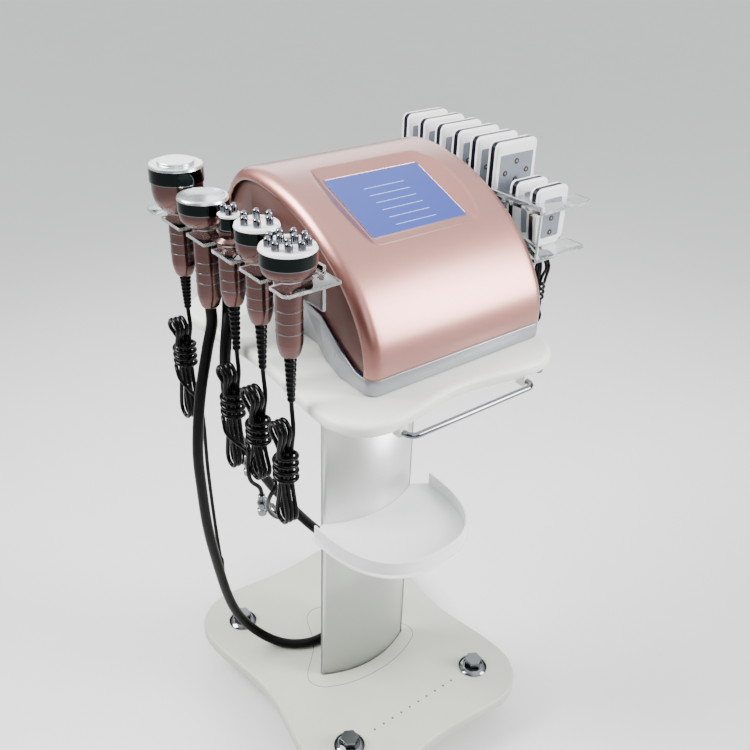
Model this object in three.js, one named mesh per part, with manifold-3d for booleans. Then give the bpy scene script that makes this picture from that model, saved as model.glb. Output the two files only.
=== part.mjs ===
// Cavitation slimming machine on its trolley. A desk machine stands on a shelf, which a hollow
// column carries above a base on four casters. Five handpieces hang in a clear holder on the
// left (-x), eight pads stand in a clear comb on the right (+x), and the user stands at -y.
// Lengths are in millimetres and angles in degrees. The floor is z = 0.
import * as THREE from 'three';
import { mergeVertices } from 'three/addons/utils/BufferGeometryUtils.js';
import Module from 'manifold-3d';

const wasm = await Module();
wasm.setup();

// Fits
const gap = 0.3;
const runningGap = 0.7;
const overrun = 2;

// Casters
const plateUnderside = 60;
const boltInsetX = 75;
const boltInsetY = 86;
const wheelRadius = 23;
const wheelWidth = 10;
const wheelEdge = 2;
const wheelTrail = 14;
const webWidth = 8;
const axleRadius = 3.5;
const hoodWall = 2.2;
const swivelBossRadius = 11;
const swivelBossDepth = 12;
const stemRadius = 5;
const cupRadius = 26.7;
const cupRim = 2;
const cupHeight = 7;
const nutRadius = 16;
const nutHeight = 15;
const hoodReachShare = 0.8;
const cupCrownShare = 0.62;
const nutSides = 6;

// Base plate
const plateThickness = 25;
const plateHalfWidth = 221;
const plateHalfDepth = 266;
const plateCorner = 85;
const plateSideDip = 22;
const plateFrontDip = 9;
const plateEdge = 6;

// Column
const columnHalfWidth = 95;
const columnFrontY = -27;
const columnFrontBulge = 26;
const columnSideDepth = 6;
const columnBackBulge = 26;
const columnWall = 3;

// Shelf
const shelfHeight = 785;
const shelfThickness = 22;
const shelfHalfWidth = 203;
const shelfFront = 246;
const shelfBack = 243;
const shelfCorner = 67;
const shelfSideDip = 12;
const shelfFrontDip = 18;
const shelfEdge = 9;

// Towel bar before the front of the shelf, and the knob beside it
const barHalfWidth = 116;
const barRadius = 4.4;
const barReach = 13;
const barLeg = 25;
const barBend = 13;
const barPlug = 10;
const lugWidth = 15;
const lugDepth = 16;
const lugDrop = 13;
const knobOffset = 42;
const knobSetback = 17;
const knobRadius = 6;
const knobNeck = 3.2;
const knobDrop = 11;

// Half-moon tray on the front of the column
const trayFloorHeight = 447;
const trayFloorWall = 4;
const trayHalfWidth = 130;
const trayFront = 217;
const trayBack = 46;
const trayLip = 8;
const trayRimWall = 3;
const trayRimHeight = 24;
const trayApron = 24;
const traySquareness = 2.6;
const traySteps = 16;

// Machine case, in its own place on the shelf
const machineX = 35;
const caseHalfWidth = 165;
const caseHalfDepth = 190;
const caseRise = 240;
const caseFrontHeight = 25;
const caseWall = 3;
const caseTuck = 34;
const caseFoot = 2;
const caseRearCorner = 6;
const caseSideShare = 0.367;
const rimRound = 18;
const shellWall = 3.5;
const coverSetback = 6;
const coverWall = 4;
const coverMargin = 9.2;
const coverOverlap = 3;

// Arch of the shell, front to rear: shares of the half depth and of the rise over the shelf
const archShares = [
  [-0.997, 0.2], [-0.965, 0.32], [-0.89, 0.44], [-0.775, 0.565], [-0.615, 0.69], [-0.445, 0.785],
  [-0.26, 0.865], [-0.06, 0.93], [0.16, 0.975], [0.39, 1], [0.58, 0.996], [0.74, 0.957],
  [0.865, 0.885], [0.945, 0.795], [0.979, 0.711],
];
const sideStartShare = -0.87;
const sideEndShare = -0.2;
const tuckStartShare = -0.6;
const rimShares = [0, 0.3, 0.55, 0.75, 0.9, 1];
const archSteps = 20;

// Screen in its sloping pocket
const screenTilt = 21.6;
const screenPlaceShares = [-0.142, 0.846];
const screenWidth = 173;
const screenLength = 129;
const screenThickness = 9;
const pocketHalfWidth = 92;
const pocketFront = 79;
const pocketRear = 70;
const pocketCorner = 10;
const pocketWall = 3;
const pocketHeight = 50;
const pocketRunShares = { side: 1.5, front: 1, rear: 7 };

// Rear panel with its sockets, fan, inlet and switch
const panelWall = 3;
const panelEdgeGap = 1;
const fanSize = 60;
const fanDepth = 15;
const fanWall = 3;
const fanInset = 59;
const fanHubRadius = 11;
const fanBladeClearance = 2.5;
const fanBladeThickness = 1.6;
const fanBladePitch = 7;
const fanSpindle = 3;
const fanBladeTurn = 35;
const fanBlades = 5;
const grilleBar = 4;
const socketRadius = 8;
const socketDepth = 6;
const socketSpacing = 26;
const socketPlaces = [-1.5, -0.5, 0.5, 1.5];
const hosePortX = -60;
const hosePortRadius = 9.5;
const hosePortDepth = 14;
const inletWidth = 27;
const inletHeight = 20;
const inletInset = 26;
const switchWidth = 13;
const switchHeight = 20;
const switchDepth = 9;
const switchProud = 2.5;
const switchOffset = 30;
const rearRowDrop = 22;

// Inside the case
const boardWidth = 160;
const boardDepth = 130;
const boardWall = 1.6;
const boardPost = 8;
const postRadius = 4;
const boardSideGap = 6;
const boardRearGap = 65;
const chipShares = [[0, 0, 0.2], [-0.3, 0.25, 0.12], [0.3, -0.25, 0.15], [0.32, 0.28, 0.1]];
const ventWidth = 54;
const ventSlot = 4;
const ventPlaces = [-2, -1, 0, 1, 2];
const supplyWidth = 70;
const supplyDepth = 120;
const supplyHeight = 38;
const supplySideGap = 9;
const supplyFrontGap = 40;
const pumpLength = 70;
const pumpRadius = 22;
const pumpHeadWidth = 44;
const pumpHeadDepth = 26;
const pumpFoot = 5;
const pumpSideGap = 46;
const pumpFrontGap = 40;

// Handpiece holder: clear plate with five keyholes and an upright flange
const holderThickness = 5;
const holderStandoff = 45;
const holderReach = 81;
const holderFrontMargin = 45;
const holderBackMargin = 40;
const flangeFrontInset = 33;
const flangeBackInset = 15;
const flangeAbove = 8;
const flangeBelow = 54;
const keyholeRadius = 19.5;
const keyholeMouth = 20;
const bossRadius = 8;
const bossDrop = 23;
const bossRiseShare = 2 / 3;
const holderBosses = [-20, 110];

// Handpieces, back to front. Drops and rises are from the top of the holder's plate.
const handpieceOffset = 47;
const handleRadius = 17.5;
const handleNeck = 16.8;
const handleTip = 8.6;
const handleRound = 24;
const handleRingRise = 0.5;
const handleRingHeight = 1.6;
const handleRingStep = 15.5;
const flareSeat = 18.9;
const seatClearance = 0.6;
const bowlShares = [[0.1, 0.35], [0.25, 0.66], [0.45, 0.88], [0.7, 0.98]];
const handleFootShares = [0.85, 0.42];
const handpieceSizes = [
  { y: 147, drop: 101, bandRise: 44, height: 22, headRadius: 38.6, faceRadius: 37.5, ringRise: 38, lip: 2 },
  { y: 72, drop: 124, bandRise: 23, height: 18, headRadius: 35.6, faceRadius: 34, ringRise: 42, lip: 1.5 },
  { y: 2, drop: 93, bandRise: 17, height: 19, headRadius: 13, faceRadius: 15, ringRise: 26, lip: -1.5 },
  { y: -68, drop: 92, bandRise: 26, height: 19, headRadius: 29.5, faceRadius: 28, ringRise: 26, lip: 1.5 },
  { y: -138, drop: 110, bandRise: 19, height: 20, headRadius: 36.3, faceRadius: 34.5, ringRise: 37, lip: 1.5 },
];
const headNames = ['cavitation', 'vacuum', 'three_pole', 'six_pole', 'twelve_pole'];
const faceRise = 3;
const boltedDiscRadius = 26;
const boltedDiscRise = 4;
const cupDish = 7;
const collarRadius = 21.5;
const collarHeight = 4;
const poleRadius = 5;
const poleRise = 12.5;
const poleRings = { three_pole: [[3, 7.5]], six_pole: [[6, 18]], twelve_pole: [[9, 24.5], [3, 10]] };

// Pad comb: two clear plates and an upright flange
const combDrop = 8;
const combSpacing = 76;
const combThickness = 5;
const combStandoff = 24;
const combReach = 118;
const combFrontMargin = 45;
const combBackMargin = 28;
const combFlangeOver = 8;
const combBosses = [-30, 120];
const padPitch = 43;
const padThickness = 20;
const padFirstY = 208;
const padOffset = 67;
const padClearance = 1.2;
const padCorner = 8;
const padEdge = 2;
const cordNotch = 12;
const cordNotchStart = 9;
const largePad = { width: 91, height: 148, chamfer: 12 };
const smallPad = { width: 68, height: 95, chamfer: 13 };
const largePads = 6;
const smallPads = 2;

// Cords. Heights of a hank are from the foot of its handle or from the lower plate of the comb.
const cordRadius = 3.2;
const cordEndRadius = 6;
const cordSides = 5;
const reliefTopRadius = 8;
const reliefBottomRadius = 5;
const reliefRib = 0.9;
const reliefRibs = 5;
const hankClearance = 1.5;
const hankStack = 7.4;
const hankWaist = 3.9;
const hankStart = 3.8;
const hankArc = 16;
const hankTurnSteps = 10;
const lobeSteps = 4;
const padCordRadius = 2.5;
const padCordOffset = 5;
const padCordEndRadius = 4.5;
const padHanks = [14, 11].map((lobe) => ({
  top: -26, wrapTop: -66, wrapBottom: -102, bottom: -142, lobe,
  loops: 2, turns: 4, stack: 6, waist: 3.1, start: 3, radius: padCordRadius,
}));

// Hoses and plugs
const hoseRadius = 8.5;
const hoseSides = 8;
const hoseSteps = 60;
const plugRadius = 7;
const plugBarrel = 5.4;
const plugLength = 36;
const plugRing = 5;
const plugBore = 3.6;
const plugBoreDepth = 8;
const plugShares = [0.3, 0.35, 0.55, 0.7, 0.72];

// Roundness of turned and curved pieces
const turnedSides = 16;
const handleSides = 12;
const smallSides = 8;
const poleSides = 6;
const bulgeSteps = 12;
const cornerSteps = 5;
const edgeSteps = 5;
const roundSteps = 3;
const coverSteps = 8;
const sideShares = [0.05, 0.15, 0.28, 0.43, 0.6, 0.79];

// Derived places
const plateTop = plateUnderside + plateThickness;
const boltSpreadX = plateHalfWidth - boltInsetX;
const boltSpreadY = plateHalfDepth - boltInsetY;
const shelfUnderside = shelfHeight - shelfThickness;
const barY = -shelfFront - barReach;
const knobX = barHalfWidth + knobOffset;
const knobY = knobSetback - shelfFront;
const caseBottom = shelfHeight + gap;
const caseSideHeight = caseRise * caseSideShare;
const archBottom = caseBottom + caseFrontHeight + gap;
const bossHeight = shelfHeight + caseRise * bossRiseShare;
const holderTop = bossHeight + bossDrop;
const holderUnderside = holderTop - holderThickness;
const holderRoot = caseHalfWidth - machineX + holderStandoff;
const holderTip = holderRoot + holderReach;
const handpieceX = -holderRoot - handpieceOffset;
const handpieces = handpieceSizes.map((size) => ({
  ...size,
  bottom: holderTop - size.drop,
  band: holderTop + size.bandRise,
  top: holderTop + size.bandRise + size.height,
}));
const holderFront = handpieces.at(-1).y - holderFrontMargin;
const holderBack = handpieces[0].y + holderBackMargin;
const combTop = holderTop - combDrop;
const combShelf = combTop - combSpacing;
const combFlangeTop = combTop + combFlangeOver;
const combFlangeBottom = combShelf - combFlangeOver;
const combRoot = machineX + caseHalfWidth + combStandoff;
const combTip = combRoot + combReach;
const padX = combRoot + padOffset;
const padCordX = padX - padCordOffset;

const looks = {
  rose: { color: 0xc9a5a2, roughness: 0.35, metalness: 0.35 },
  rosePanel: { color: 0xa67f7b, roughness: 0.4, metalness: 0.35 },
  silver: { color: 0xbec0c6, roughness: 0.4, metalness: 0.3 },
  ivory: { color: 0xe0e0da, roughness: 0.5, metalness: 0 },
  basePaint: { color: 0xcdcec8, roughness: 0.5, metalness: 0 },
  white: { color: 0xf1f1f2, roughness: 0.35, metalness: 0 },
  aluminium: { color: 0xc6cbc9, roughness: 0.35, metalness: 0.8 },
  chrome: { color: 0xd9dbde, roughness: 0.08, metalness: 1 },
  black: { color: 0x141416, roughness: 0.35, metalness: 0 },
  grey: { color: 0x6c6f75, roughness: 0.6, metalness: 0.1 },
  screen: { color: 0x6f84d4, roughness: 0.15, metalness: 0 },
  clear: { color: 0xdfe6ea, roughness: 0.05, metalness: 0, transparent: true, opacity: 0.45 },
  board: { color: 0x2c6b45, roughness: 0.6, metalness: 0 },
  steel: { color: 0xa9adb2, roughness: 0.4, metalness: 0.7 },
};

const object = new THREE.Group();

function place(name, geometry, look, x = 0, y = 0, z = 0) {
  const mesh = new THREE.Mesh(geometry, new THREE.MeshStandardMaterial(looks[look]));
  mesh.name = name;
  mesh.position.set(x, y, z);
  object.add(mesh);
  return mesh;
}

// One closed skin: shared vertices merged, slivers dropped and faces turned outward.
function closed(source) {
  const bare = source.clone();
  for (const key of Object.keys(bare.attributes)) {
    if (key !== 'position') bare.deleteAttribute(key);
  }
  const merged = mergeVertices(bare, 1e-4);
  const index = [];
  const raw = merged.index.array;
  for (let i = 0; i < raw.length; i += 3) {
    const [a, b, c] = [raw[i], raw[i + 1], raw[i + 2]];
    if (a !== b && b !== c && a !== c) index.push(a, b, c);
  }
  const position = merged.attributes.position;
  const [a, b, c] = [new THREE.Vector3(), new THREE.Vector3(), new THREE.Vector3()];
  let volume = 0;
  for (let i = 0; i < index.length; i += 3) {
    a.fromBufferAttribute(position, index[i]);
    b.fromBufferAttribute(position, index[i + 1]);
    c.fromBufferAttribute(position, index[i + 2]);
    volume += a.dot(b.cross(c));
  }
  merged.setIndex(volume < 0 ? index.reverse() : index);
  return merged;
}

function toManifold(geometry) {
  const skin = closed(geometry);
  return new wasm.Manifold(new wasm.Mesh({
    numProp: 3,
    vertProperties: new Float32Array(skin.attributes.position.array),
    triVerts: new Uint32Array(skin.index.array),
  }));
}

function toGeometry(manifold) {
  const mesh = manifold.getMesh();
  const geometry = new THREE.BufferGeometry();
  geometry.setAttribute('position', new THREE.BufferAttribute(mesh.vertProperties, 3));
  geometry.setIndex(new THREE.BufferAttribute(mesh.triVerts, 1));
  return geometry;
}

// First geometry joined with the added ones, less the cut ones.
function carved(base, added, cuts) {
  let solid = toManifold(base);
  for (const piece of added) solid = solid.add(toManifold(piece));
  for (const cut of cuts) solid = solid.subtract(toManifold(cut));
  return toGeometry(solid);
}

// Closed skin through rings of equal point counts, with flat ends.
function lofted(rings) {
  const count = rings[0].length;
  const index = [];
  for (let r = 0; r < rings.length - 1; r += 1) {
    for (let i = 0; i < count; i += 1) {
      const a = r * count + i;
      const b = r * count + ((i + 1) % count);
      index.push(a, b, b + count, a, b + count, a + count);
    }
  }
  const last = (rings.length - 1) * count;
  for (const [i, j, k] of capFaces(rings[0])) index.push(k, j, i);
  for (const [i, j, k] of capFaces(rings.at(-1))) index.push(last + i, last + j, last + k);
  const geometry = new THREE.BufferGeometry();
  const numbers = rings.flat().flatMap((p) => [p.x, p.y, p.z]);
  geometry.setAttribute('position', new THREE.Float32BufferAttribute(numbers, 3));
  geometry.setIndex(index);
  return closed(geometry);
}

// Triangles that fill a flat ring, in the ring's own direction.
function capFaces(ring) {
  const normal = new THREE.Vector3();
  ring.forEach((p, i) => normal.add(p.clone().cross(ring[(i + 1) % ring.length])));
  const [u, v] = Math.abs(normal.x) > Math.max(Math.abs(normal.y), Math.abs(normal.z))
    ? ['y', 'z'] : Math.abs(normal.y) > Math.abs(normal.z) ? ['z', 'x'] : ['x', 'y'];
  const flat = ring.map((p) => new THREE.Vector2(p[u], p[v]));
  const turn = Math.sign(THREE.ShapeUtils.area(flat));
  return THREE.ShapeUtils.triangulateShape(flat, []).map((face) => {
    const area = THREE.ShapeUtils.area(face.map((i) => flat[i]));
    return Math.sign(area) === turn ? face : [face[2], face[1], face[0]];
  });
}

function shapeOf(points) {
  return new THREE.Shape(points.map(([x, y]) => new THREE.Vector2(x, y)));
}

// A flat shape given thickness upward from z.
function slab(shape, thickness, z = 0) {
  const geometry = new THREE.ExtrudeGeometry(shape, { depth: thickness, bevelEnabled: false });
  return geometry.translate(0, 0, z);
}

function box(width, depth, height, x = 0, y = 0, z = 0) {
  return new THREE.BoxGeometry(width, depth, height).translate(x, y, z + height / 2);
}

function cylinder(radius, length, sides, x = 0, y = 0, z = 0) {
  const geometry = new THREE.CylinderGeometry(radius, radius, length, sides).rotateX(Math.PI / 2);
  return geometry.translate(x, y, z + length / 2);
}

// A profile of [radius, height] turned about the z axis.
function turned(profile, sides) {
  const points = profile.map(([radius, height]) => new THREE.Vector2(radius, height));
  return closed(new THREE.LatheGeometry(points, sides).rotateX(Math.PI / 2));
}

function arc(radius, from, to, steps, x = 0, y = 0) {
  return Array.from({ length: steps + 1 }, (_, i) => {
    const angle = THREE.MathUtils.degToRad(from + ((to - from) * i) / steps);
    return [x + radius * Math.cos(angle), y + radius * Math.sin(angle)];
  });
}

// Arc through two ends with a given bulge, from the +x end to the -x end.
function bulgeArc(halfWidth, y, bulge) {
  const radius = (halfWidth ** 2 + bulge ** 2) / (2 * bulge);
  const reach = THREE.MathUtils.radToDeg(Math.asin(halfWidth / radius));
  return arc(radius, 90 - reach, 90 + reach, bulgeSteps, 0, y + bulge - radius);
}

// Rounded rectangle whose sides dip inward between the lobes at its corners.
function lobedRing(size, inset, z) {
  const radius = size.corner - inset;
  const [right, back, front] = [size.halfWidth, size.back, size.front].map((v) => v - inset - radius);
  const corners = [[right, back, 0], [-right, back, 90], [-right, -front, 180], [right, -front, 270]];
  const ring = [];
  corners.forEach(([x, y, start], k) => {
    ring.push(...arc(radius, start, start + 90, cornerSteps, x, y));
    const [fromX, fromY] = ring.at(-1);
    const next = corners[(k + 1) % 4];
    const [toX, toY] = arc(radius, next[2], next[2] + 90, 1, next[0], next[1])[0];
    const alongX = k % 2 === 0;
    for (let i = 1; i < edgeSteps; i += 1) {
      const t = i / edgeSteps;
      const dip = (1 - Math.cos(2 * Math.PI * t)) / 2;
      const x = fromX + (toX - fromX) * t;
      const y = fromY + (toY - fromY) * t;
      const [dipX, dipY] = alongX ? [0, size.frontDip * dip] : [size.sideDip * dip, 0];
      ring.push([x - Math.sign(x) * dipX, y - Math.sign(y) * dipY]);
    }
  });
  return ring.map(([x, y]) => new THREE.Vector3(x, y, z));
}

// A lobed plate with rounded edges, from z upward.
function lobedPlate(size, thickness, edge, z) {
  const levels = [
    [edge, 0], [0, edge], [0, thickness - edge], [edge * 0.3, thickness - edge * 0.3], [edge, thickness],
  ];
  return lofted(levels.map(([inset, height]) => lobedRing(size, inset, z + height)));
}

// Casters: a bolt that the base holds, a fork that swivels on it and twin wheels on one axle.
const cup = turned([
  [0, plateUnderside - swivelBossDepth + overrun], [stemRadius, plateUnderside - swivelBossDepth + overrun],
  [stemRadius, plateTop + gap], [cupRadius, plateTop + gap], [cupRadius, plateTop + gap + cupRim],
  [cupRadius * cupCrownShare, plateTop + gap + cupHeight], [0, plateTop + gap + cupHeight],
], turnedSides);
const nut = cylinder(nutRadius, nutHeight + cupHeight / 2, nutSides, 0, 0, plateTop + gap + cupHeight / 2);
const boltGeometry = carved(cup, [nut], []);

const forkTop = plateUnderside - gap;
const web = slab(shapeOf([
  [-swivelBossRadius, forkTop], [-swivelBossRadius, forkTop - swivelBossDepth],
  ...arc(axleRadius * 2, 200, 380, cornerSteps, wheelTrail, wheelRadius),
  [swivelBossRadius * 2, forkTop - swivelBossDepth / 2], [swivelBossRadius, forkTop],
]), webWidth).rotateX(Math.PI / 2).translate(0, webWidth / 2, 0);
const hoodInner = wheelRadius + runningGap * 2;
const hoodWidth = webWidth + wheelWidth * 2 + runningGap * 2;
const [hoodFrom, hoodTo] = [90 - 90 * hoodReachShare, 90 + 90 * hoodReachShare];
const hood = slab(shapeOf([
  ...arc(hoodInner + hoodWall, hoodFrom, hoodTo, cornerSteps, wheelTrail, wheelRadius),
  ...arc(hoodInner, hoodTo, hoodFrom, cornerSteps, wheelTrail, wheelRadius),
]), hoodWidth).rotateX(Math.PI / 2).translate(0, hoodWidth / 2, 0);
const boss = cylinder(swivelBossRadius, swivelBossDepth, 10, 0, 0, forkTop - swivelBossDepth);
const axleHole = cylinder(axleRadius + runningGap, webWidth + overrun * 2, smallSides)
  .rotateX(Math.PI / 2).translate(wheelTrail, webWidth / 2 + overrun, wheelRadius);
const stemHole = cylinder(
  stemRadius + runningGap, swivelBossDepth, smallSides, 0, 0, forkTop - swivelBossDepth + overrun / 2,
);
const forkGeometry = carved(boss, [web, hood], [axleHole, stemHole]);

const wheelInner = webWidth / 2 + runningGap;
const wheelOuter = wheelInner + wheelWidth;
const halfWheel = [
  [axleRadius, wheelInner], [wheelRadius, wheelInner], [wheelRadius, wheelOuter - wheelEdge],
  [wheelRadius - wheelEdge, wheelOuter], [0, wheelOuter],
];
const wheelGeometry = turned(
  [...halfWheel.map(([r, h]) => [r, -h]).reverse(), ...halfWheel], handleSides,
).rotateX(Math.PI / 2);

const corners = { front_left: [-1, -1], front_right: [1, -1], back_left: [-1, 1], back_right: [1, 1] };
for (const [name, [sideX, sideY]] of Object.entries(corners)) {
  const [x, y] = [sideX * boltSpreadX, sideY * boltSpreadY];
  place(`caster_bolt_${name}`, boltGeometry, 'chrome', x, y);
  place(`caster_fork_${name}`, forkGeometry, 'black', x, y);
  place(`caster_wheel_${name}`, wheelGeometry, 'grey', x + wheelTrail, y, wheelRadius);
}

// Base plate with a hole for each caster bolt
const plateSize = {
  halfWidth: plateHalfWidth, front: plateHalfDepth, back: plateHalfDepth, corner: plateCorner,
  sideDip: plateSideDip, frontDip: plateFrontDip,
};
const boltHoles = Object.values(corners).map(([sideX, sideY]) => cylinder(
  stemRadius + gap, plateThickness + overrun * 2, handleSides,
  sideX * boltSpreadX, sideY * boltSpreadY, plateUnderside - overrun,
));
const plate = lobedPlate(plateSize, plateThickness, plateEdge, plateUnderside);
place('base_plate', carved(plate, [], boltHoles), 'basePaint');

// Column: a hollow lens-shaped extrusion between the base and the shelf
function columnOutline(inset) {
  const halfWidth = columnHalfWidth - inset;
  const front = bulgeArc(halfWidth, -columnFrontY - inset, columnFrontBulge).map(([x, y]) => [x, -y]);
  const back = bulgeArc(halfWidth, columnFrontY + columnSideDepth - inset, columnBackBulge);
  return [...back, ...front.reverse()];
}
const columnShape = shapeOf(columnOutline(0));
columnShape.holes.push(new THREE.Path(columnOutline(columnWall).map(([x, y]) => new THREE.Vector2(x, y))));
place('column', slab(columnShape, shelfUnderside - plateTop - gap * 2, plateTop + gap), 'aluminium');

// Shelf with two lugs below its front edge for the towel bar
const shelfSize = {
  halfWidth: shelfHalfWidth, front: shelfFront, back: shelfBack, corner: shelfCorner,
  sideDip: shelfSideDip, frontDip: shelfFrontDip,
};
const barHeight = shelfUnderside - gap * 2 - barRadius;
const lugY = barY + barLeg;
const lugs = [-1, 1].map((side) => box(
  lugWidth, lugDepth, lugDrop + shelfEdge,
  side * barHalfWidth, lugY + lugDepth / 2 - barPlug, shelfUnderside - lugDrop,
));
const lugHoles = [-1, 1].map((side) => cylinder(barRadius + gap, barPlug + overrun, smallSides)
  .rotateX(-Math.PI / 2).translate(side * barHalfWidth, lugY - barPlug - overrun, barHeight));
const knobHoleDepth = shelfThickness / 2;
const knobHole = cylinder(
  knobNeck + gap, knobHoleDepth + overrun, smallSides, knobX, knobY, shelfUnderside - overrun,
);
const shelf = lobedPlate(shelfSize, shelfThickness, shelfEdge, shelfUnderside);
place('shelf', carved(shelf, lugs, [...lugHoles, knobHole]), 'ivory');

// Towel bar: one bent chrome tube whose ends sit in the shelf's lugs
const barEnd = lugY - gap;
const bendX = barHalfWidth - barBend;
const barRoute = [
  [-barHalfWidth, barEnd], ...arc(barBend, 180, 270, 4, -bendX, barY + barBend),
  ...arc(barBend, 270, 360, 4, bendX, barY + barBend), [barHalfWidth, barEnd],
].map(([x, y]) => new THREE.Vector3(x, y, barHeight));
place('towel_bar', swept(barRoute, barRoute.map(() => barRadius), smallSides), 'chrome');

const knobProfile = [
  [0, -knobDrop], [knobRadius / 2, -knobDrop], [knobRadius, -knobDrop + knobRadius / 2],
  [knobRadius, -gap], [knobNeck, -gap], [knobNeck, knobHoleDepth - gap], [0, knobHoleDepth - gap],
];
place('shelf_knob', turned(knobProfile, handleSides), 'chrome', knobX, knobY, shelfUnderside);

// Tray: a half-moon floor that clasps the column's front, with a low rim set in from its lip
function halfMoon(inset) {
  const depth = trayFront - trayBack - inset;
  return Array.from({ length: traySteps + 1 }, (_, i) => {
    const angle = Math.PI * (1 + i / traySteps);
    const [c, s] = [Math.cos(angle), Math.sin(angle)];
    const power = 2 / traySquareness;
    return [
      Math.sign(c) * Math.abs(c) ** power * (trayHalfWidth - inset),
      -trayBack - Math.abs(s) ** power * depth,
    ];
  });
}
const columnFit = bulgeArc(columnHalfWidth + gap, -columnFrontY + gap, columnFrontBulge)
  .map(([x, y]) => [x, -y]);
const trayFloor = slab(
  shapeOf([...halfMoon(0), ...columnFit]), trayFloorWall, trayFloorHeight - trayFloorWall,
);
const trayRim = slab(
  shapeOf([...halfMoon(trayLip), ...halfMoon(trayLip + trayRimWall).reverse()]),
  trayRimHeight + trayFloorWall / 2, trayFloorHeight - trayFloorWall / 2,
);
const apronOuter = bulgeArc(columnHalfWidth + gap, -columnFrontY + gap + trayRimWall, columnFrontBulge);
const trayApronBand = slab(
  shapeOf([...columnFit, ...apronOuter.map(([x, y]) => [x, -y]).reverse()]),
  trayApron, trayFloorHeight - trayApron,
);
place('tray', carved(trayFloor, [trayRim, trayApronBand], []), 'white');

// Arch of the upper shell: [y, z] points, set in along the normal
const archCurve = new THREE.CatmullRomCurve3([
  new THREE.Vector3(0, -caseHalfDepth, archBottom),
  ...archShares.map(([y, z]) => new THREE.Vector3(0, y * caseHalfDepth, shelfHeight + z * caseRise)),
]);
const archLine = archCurve.getSpacedPoints(archSteps);
function arch(inset) {
  return archLine.map((point, i) => {
    const before = archLine[Math.max(i - 1, 0)];
    const after = archLine[Math.min(i + 1, archSteps)];
    const tangent = after.clone().sub(before).normalize();
    if (i === 0) tangent.set(0, 0, 1);
    if (i === archSteps) tangent.set(0, 0, -1);
    return [point.y + tangent.z * inset, point.z - tangent.y * inset];
  });
}
function sideRings(section) {
  const half = rimShares.map((share) => {
    const out = rimRound * share;
    return [caseHalfWidth - rimRound + out, rimRound - Math.sqrt(rimRound ** 2 - out ** 2)];
  });
  const stations = [...half.map(([x, inset]) => [-x, inset]).reverse(), ...half];
  return stations.map(([x, inset]) => section(inset).map(([y, z]) => new THREE.Vector3(x, y, z)));
}
const archBand = lofted(sideRings((inset) => [...arch(inset), ...arch(inset + shellWall).reverse()]));
const archBlock = lofted(sideRings((inset) => arch(inset)));

// Sloping pocket for the screen, drawn flat and then tilted into the arch
function pocketRing(height, wall) {
  const halfWidth = pocketHalfWidth + height * pocketRunShares.side + wall;
  const front = pocketFront + height * pocketRunShares.front + wall;
  const rear = pocketRear + height * pocketRunShares.rear + wall;
  const corner = pocketCorner + height * pocketRunShares.side;
  const level = height === 0 ? -wall : height;
  const points = [
    ...arc(corner, 0, 90, roundSteps, halfWidth - corner, rear - corner),
    ...arc(corner, 90, 180, roundSteps, corner - halfWidth, rear - corner),
    ...arc(corner, 180, 270, roundSteps, corner - halfWidth, corner - front),
    ...arc(corner, 270, 360, roundSteps, halfWidth - corner, corner - front),
  ];
  return points.map(([x, y]) => new THREE.Vector3(x, y, level));
}
function tilted(geometry) {
  const [y, z] = [screenPlaceShares[0] * caseHalfDepth, screenPlaceShares[1] * caseRise];
  return geometry.rotateX(THREE.MathUtils.degToRad(screenTilt)).translate(0, y, shelfHeight + z);
}
const pocketTub = tilted(lofted([pocketRing(0, pocketWall), pocketRing(pocketHeight, pocketWall)]));
const pocketSpace = tilted(lofted([pocketRing(0, 0), pocketRing(pocketHeight, 0)]));
const screenHole = tilted(box(
  screenWidth + gap * 2, screenLength + gap * 2, pocketWall + overrun * 2, 0, 0, -pocketWall - overrun,
));
const tub = toManifold(pocketTub).intersect(toManifold(archBlock));
const shell = toManifold(archBand).add(tub).subtract(toManifold(pocketSpace)).subtract(toManifold(screenHole));
place('upper_shell', toGeometry(shell), 'rose', machineX);
const screenBlock = box(screenWidth, screenLength, screenThickness, 0, 0, -screenThickness);
place('touch_screen', tilted(screenBlock), 'screen', machineX);

// Lower case: a tray whose sides rise toward the rear and tuck in toward its foot
function smoothRise(y, from, to) {
  const t = THREE.MathUtils.clamp((y - from) / (to - from), 0, 1);
  return t * t * (3 - 2 * t);
}
function caseTop(y) {
  const rise = smoothRise(y, sideStartShare * caseHalfDepth, sideEndShare * caseHalfDepth);
  return caseFrontHeight + (caseSideHeight - caseFrontHeight) * rise;
}
function caseRing(inset, tuckShare, height) {
  const halfWidth = caseHalfWidth - inset;
  const halfDepth = caseHalfDepth - inset;
  const [front, rear] = [rimRound - inset, caseRearCorner - Math.min(inset, caseRearCorner / 2)];
  const [startY, endY] = [front - halfDepth, halfDepth - rear];
  const right = sideShares.map((share) => [halfWidth, startY + (endY - startY) * share]);
  const outline = [
    ...arc(front, 270, 360, 4, halfWidth - front, startY), ...right,
    ...arc(rear, 0, 90, 2, halfWidth - rear, endY), ...arc(rear, 90, 180, 2, rear - halfWidth, endY),
    ...right.map(([x, y]) => [-x, y]).reverse(), ...arc(front, 180, 270, 4, front - halfWidth, startY),
  ];
  return outline.map(([x, y]) => {
    const tuck = caseTuck * tuckShare * smoothRise(y, tuckStartShare * caseHalfDepth, 0);
    return new THREE.Vector3(x - Math.sign(x) * tuck, y, caseBottom + (height ?? caseTop(y)));
  });
}
const lowerCase = lofted([
  caseRing(caseFoot, 1, 0), caseRing(0, 1, caseFoot), caseRing(0, 0), caseRing(caseWall, 0),
  caseRing(caseWall, 1, caseWall),
]);
const caseFloor = caseBottom + caseWall;
const footHalfWidth = caseHalfWidth - caseTuck - caseWall;
const boardX = boardSideGap + boardWidth / 2 - footHalfWidth;
const boardY = caseHalfDepth - boardRearGap - boardDepth / 2;
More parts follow.
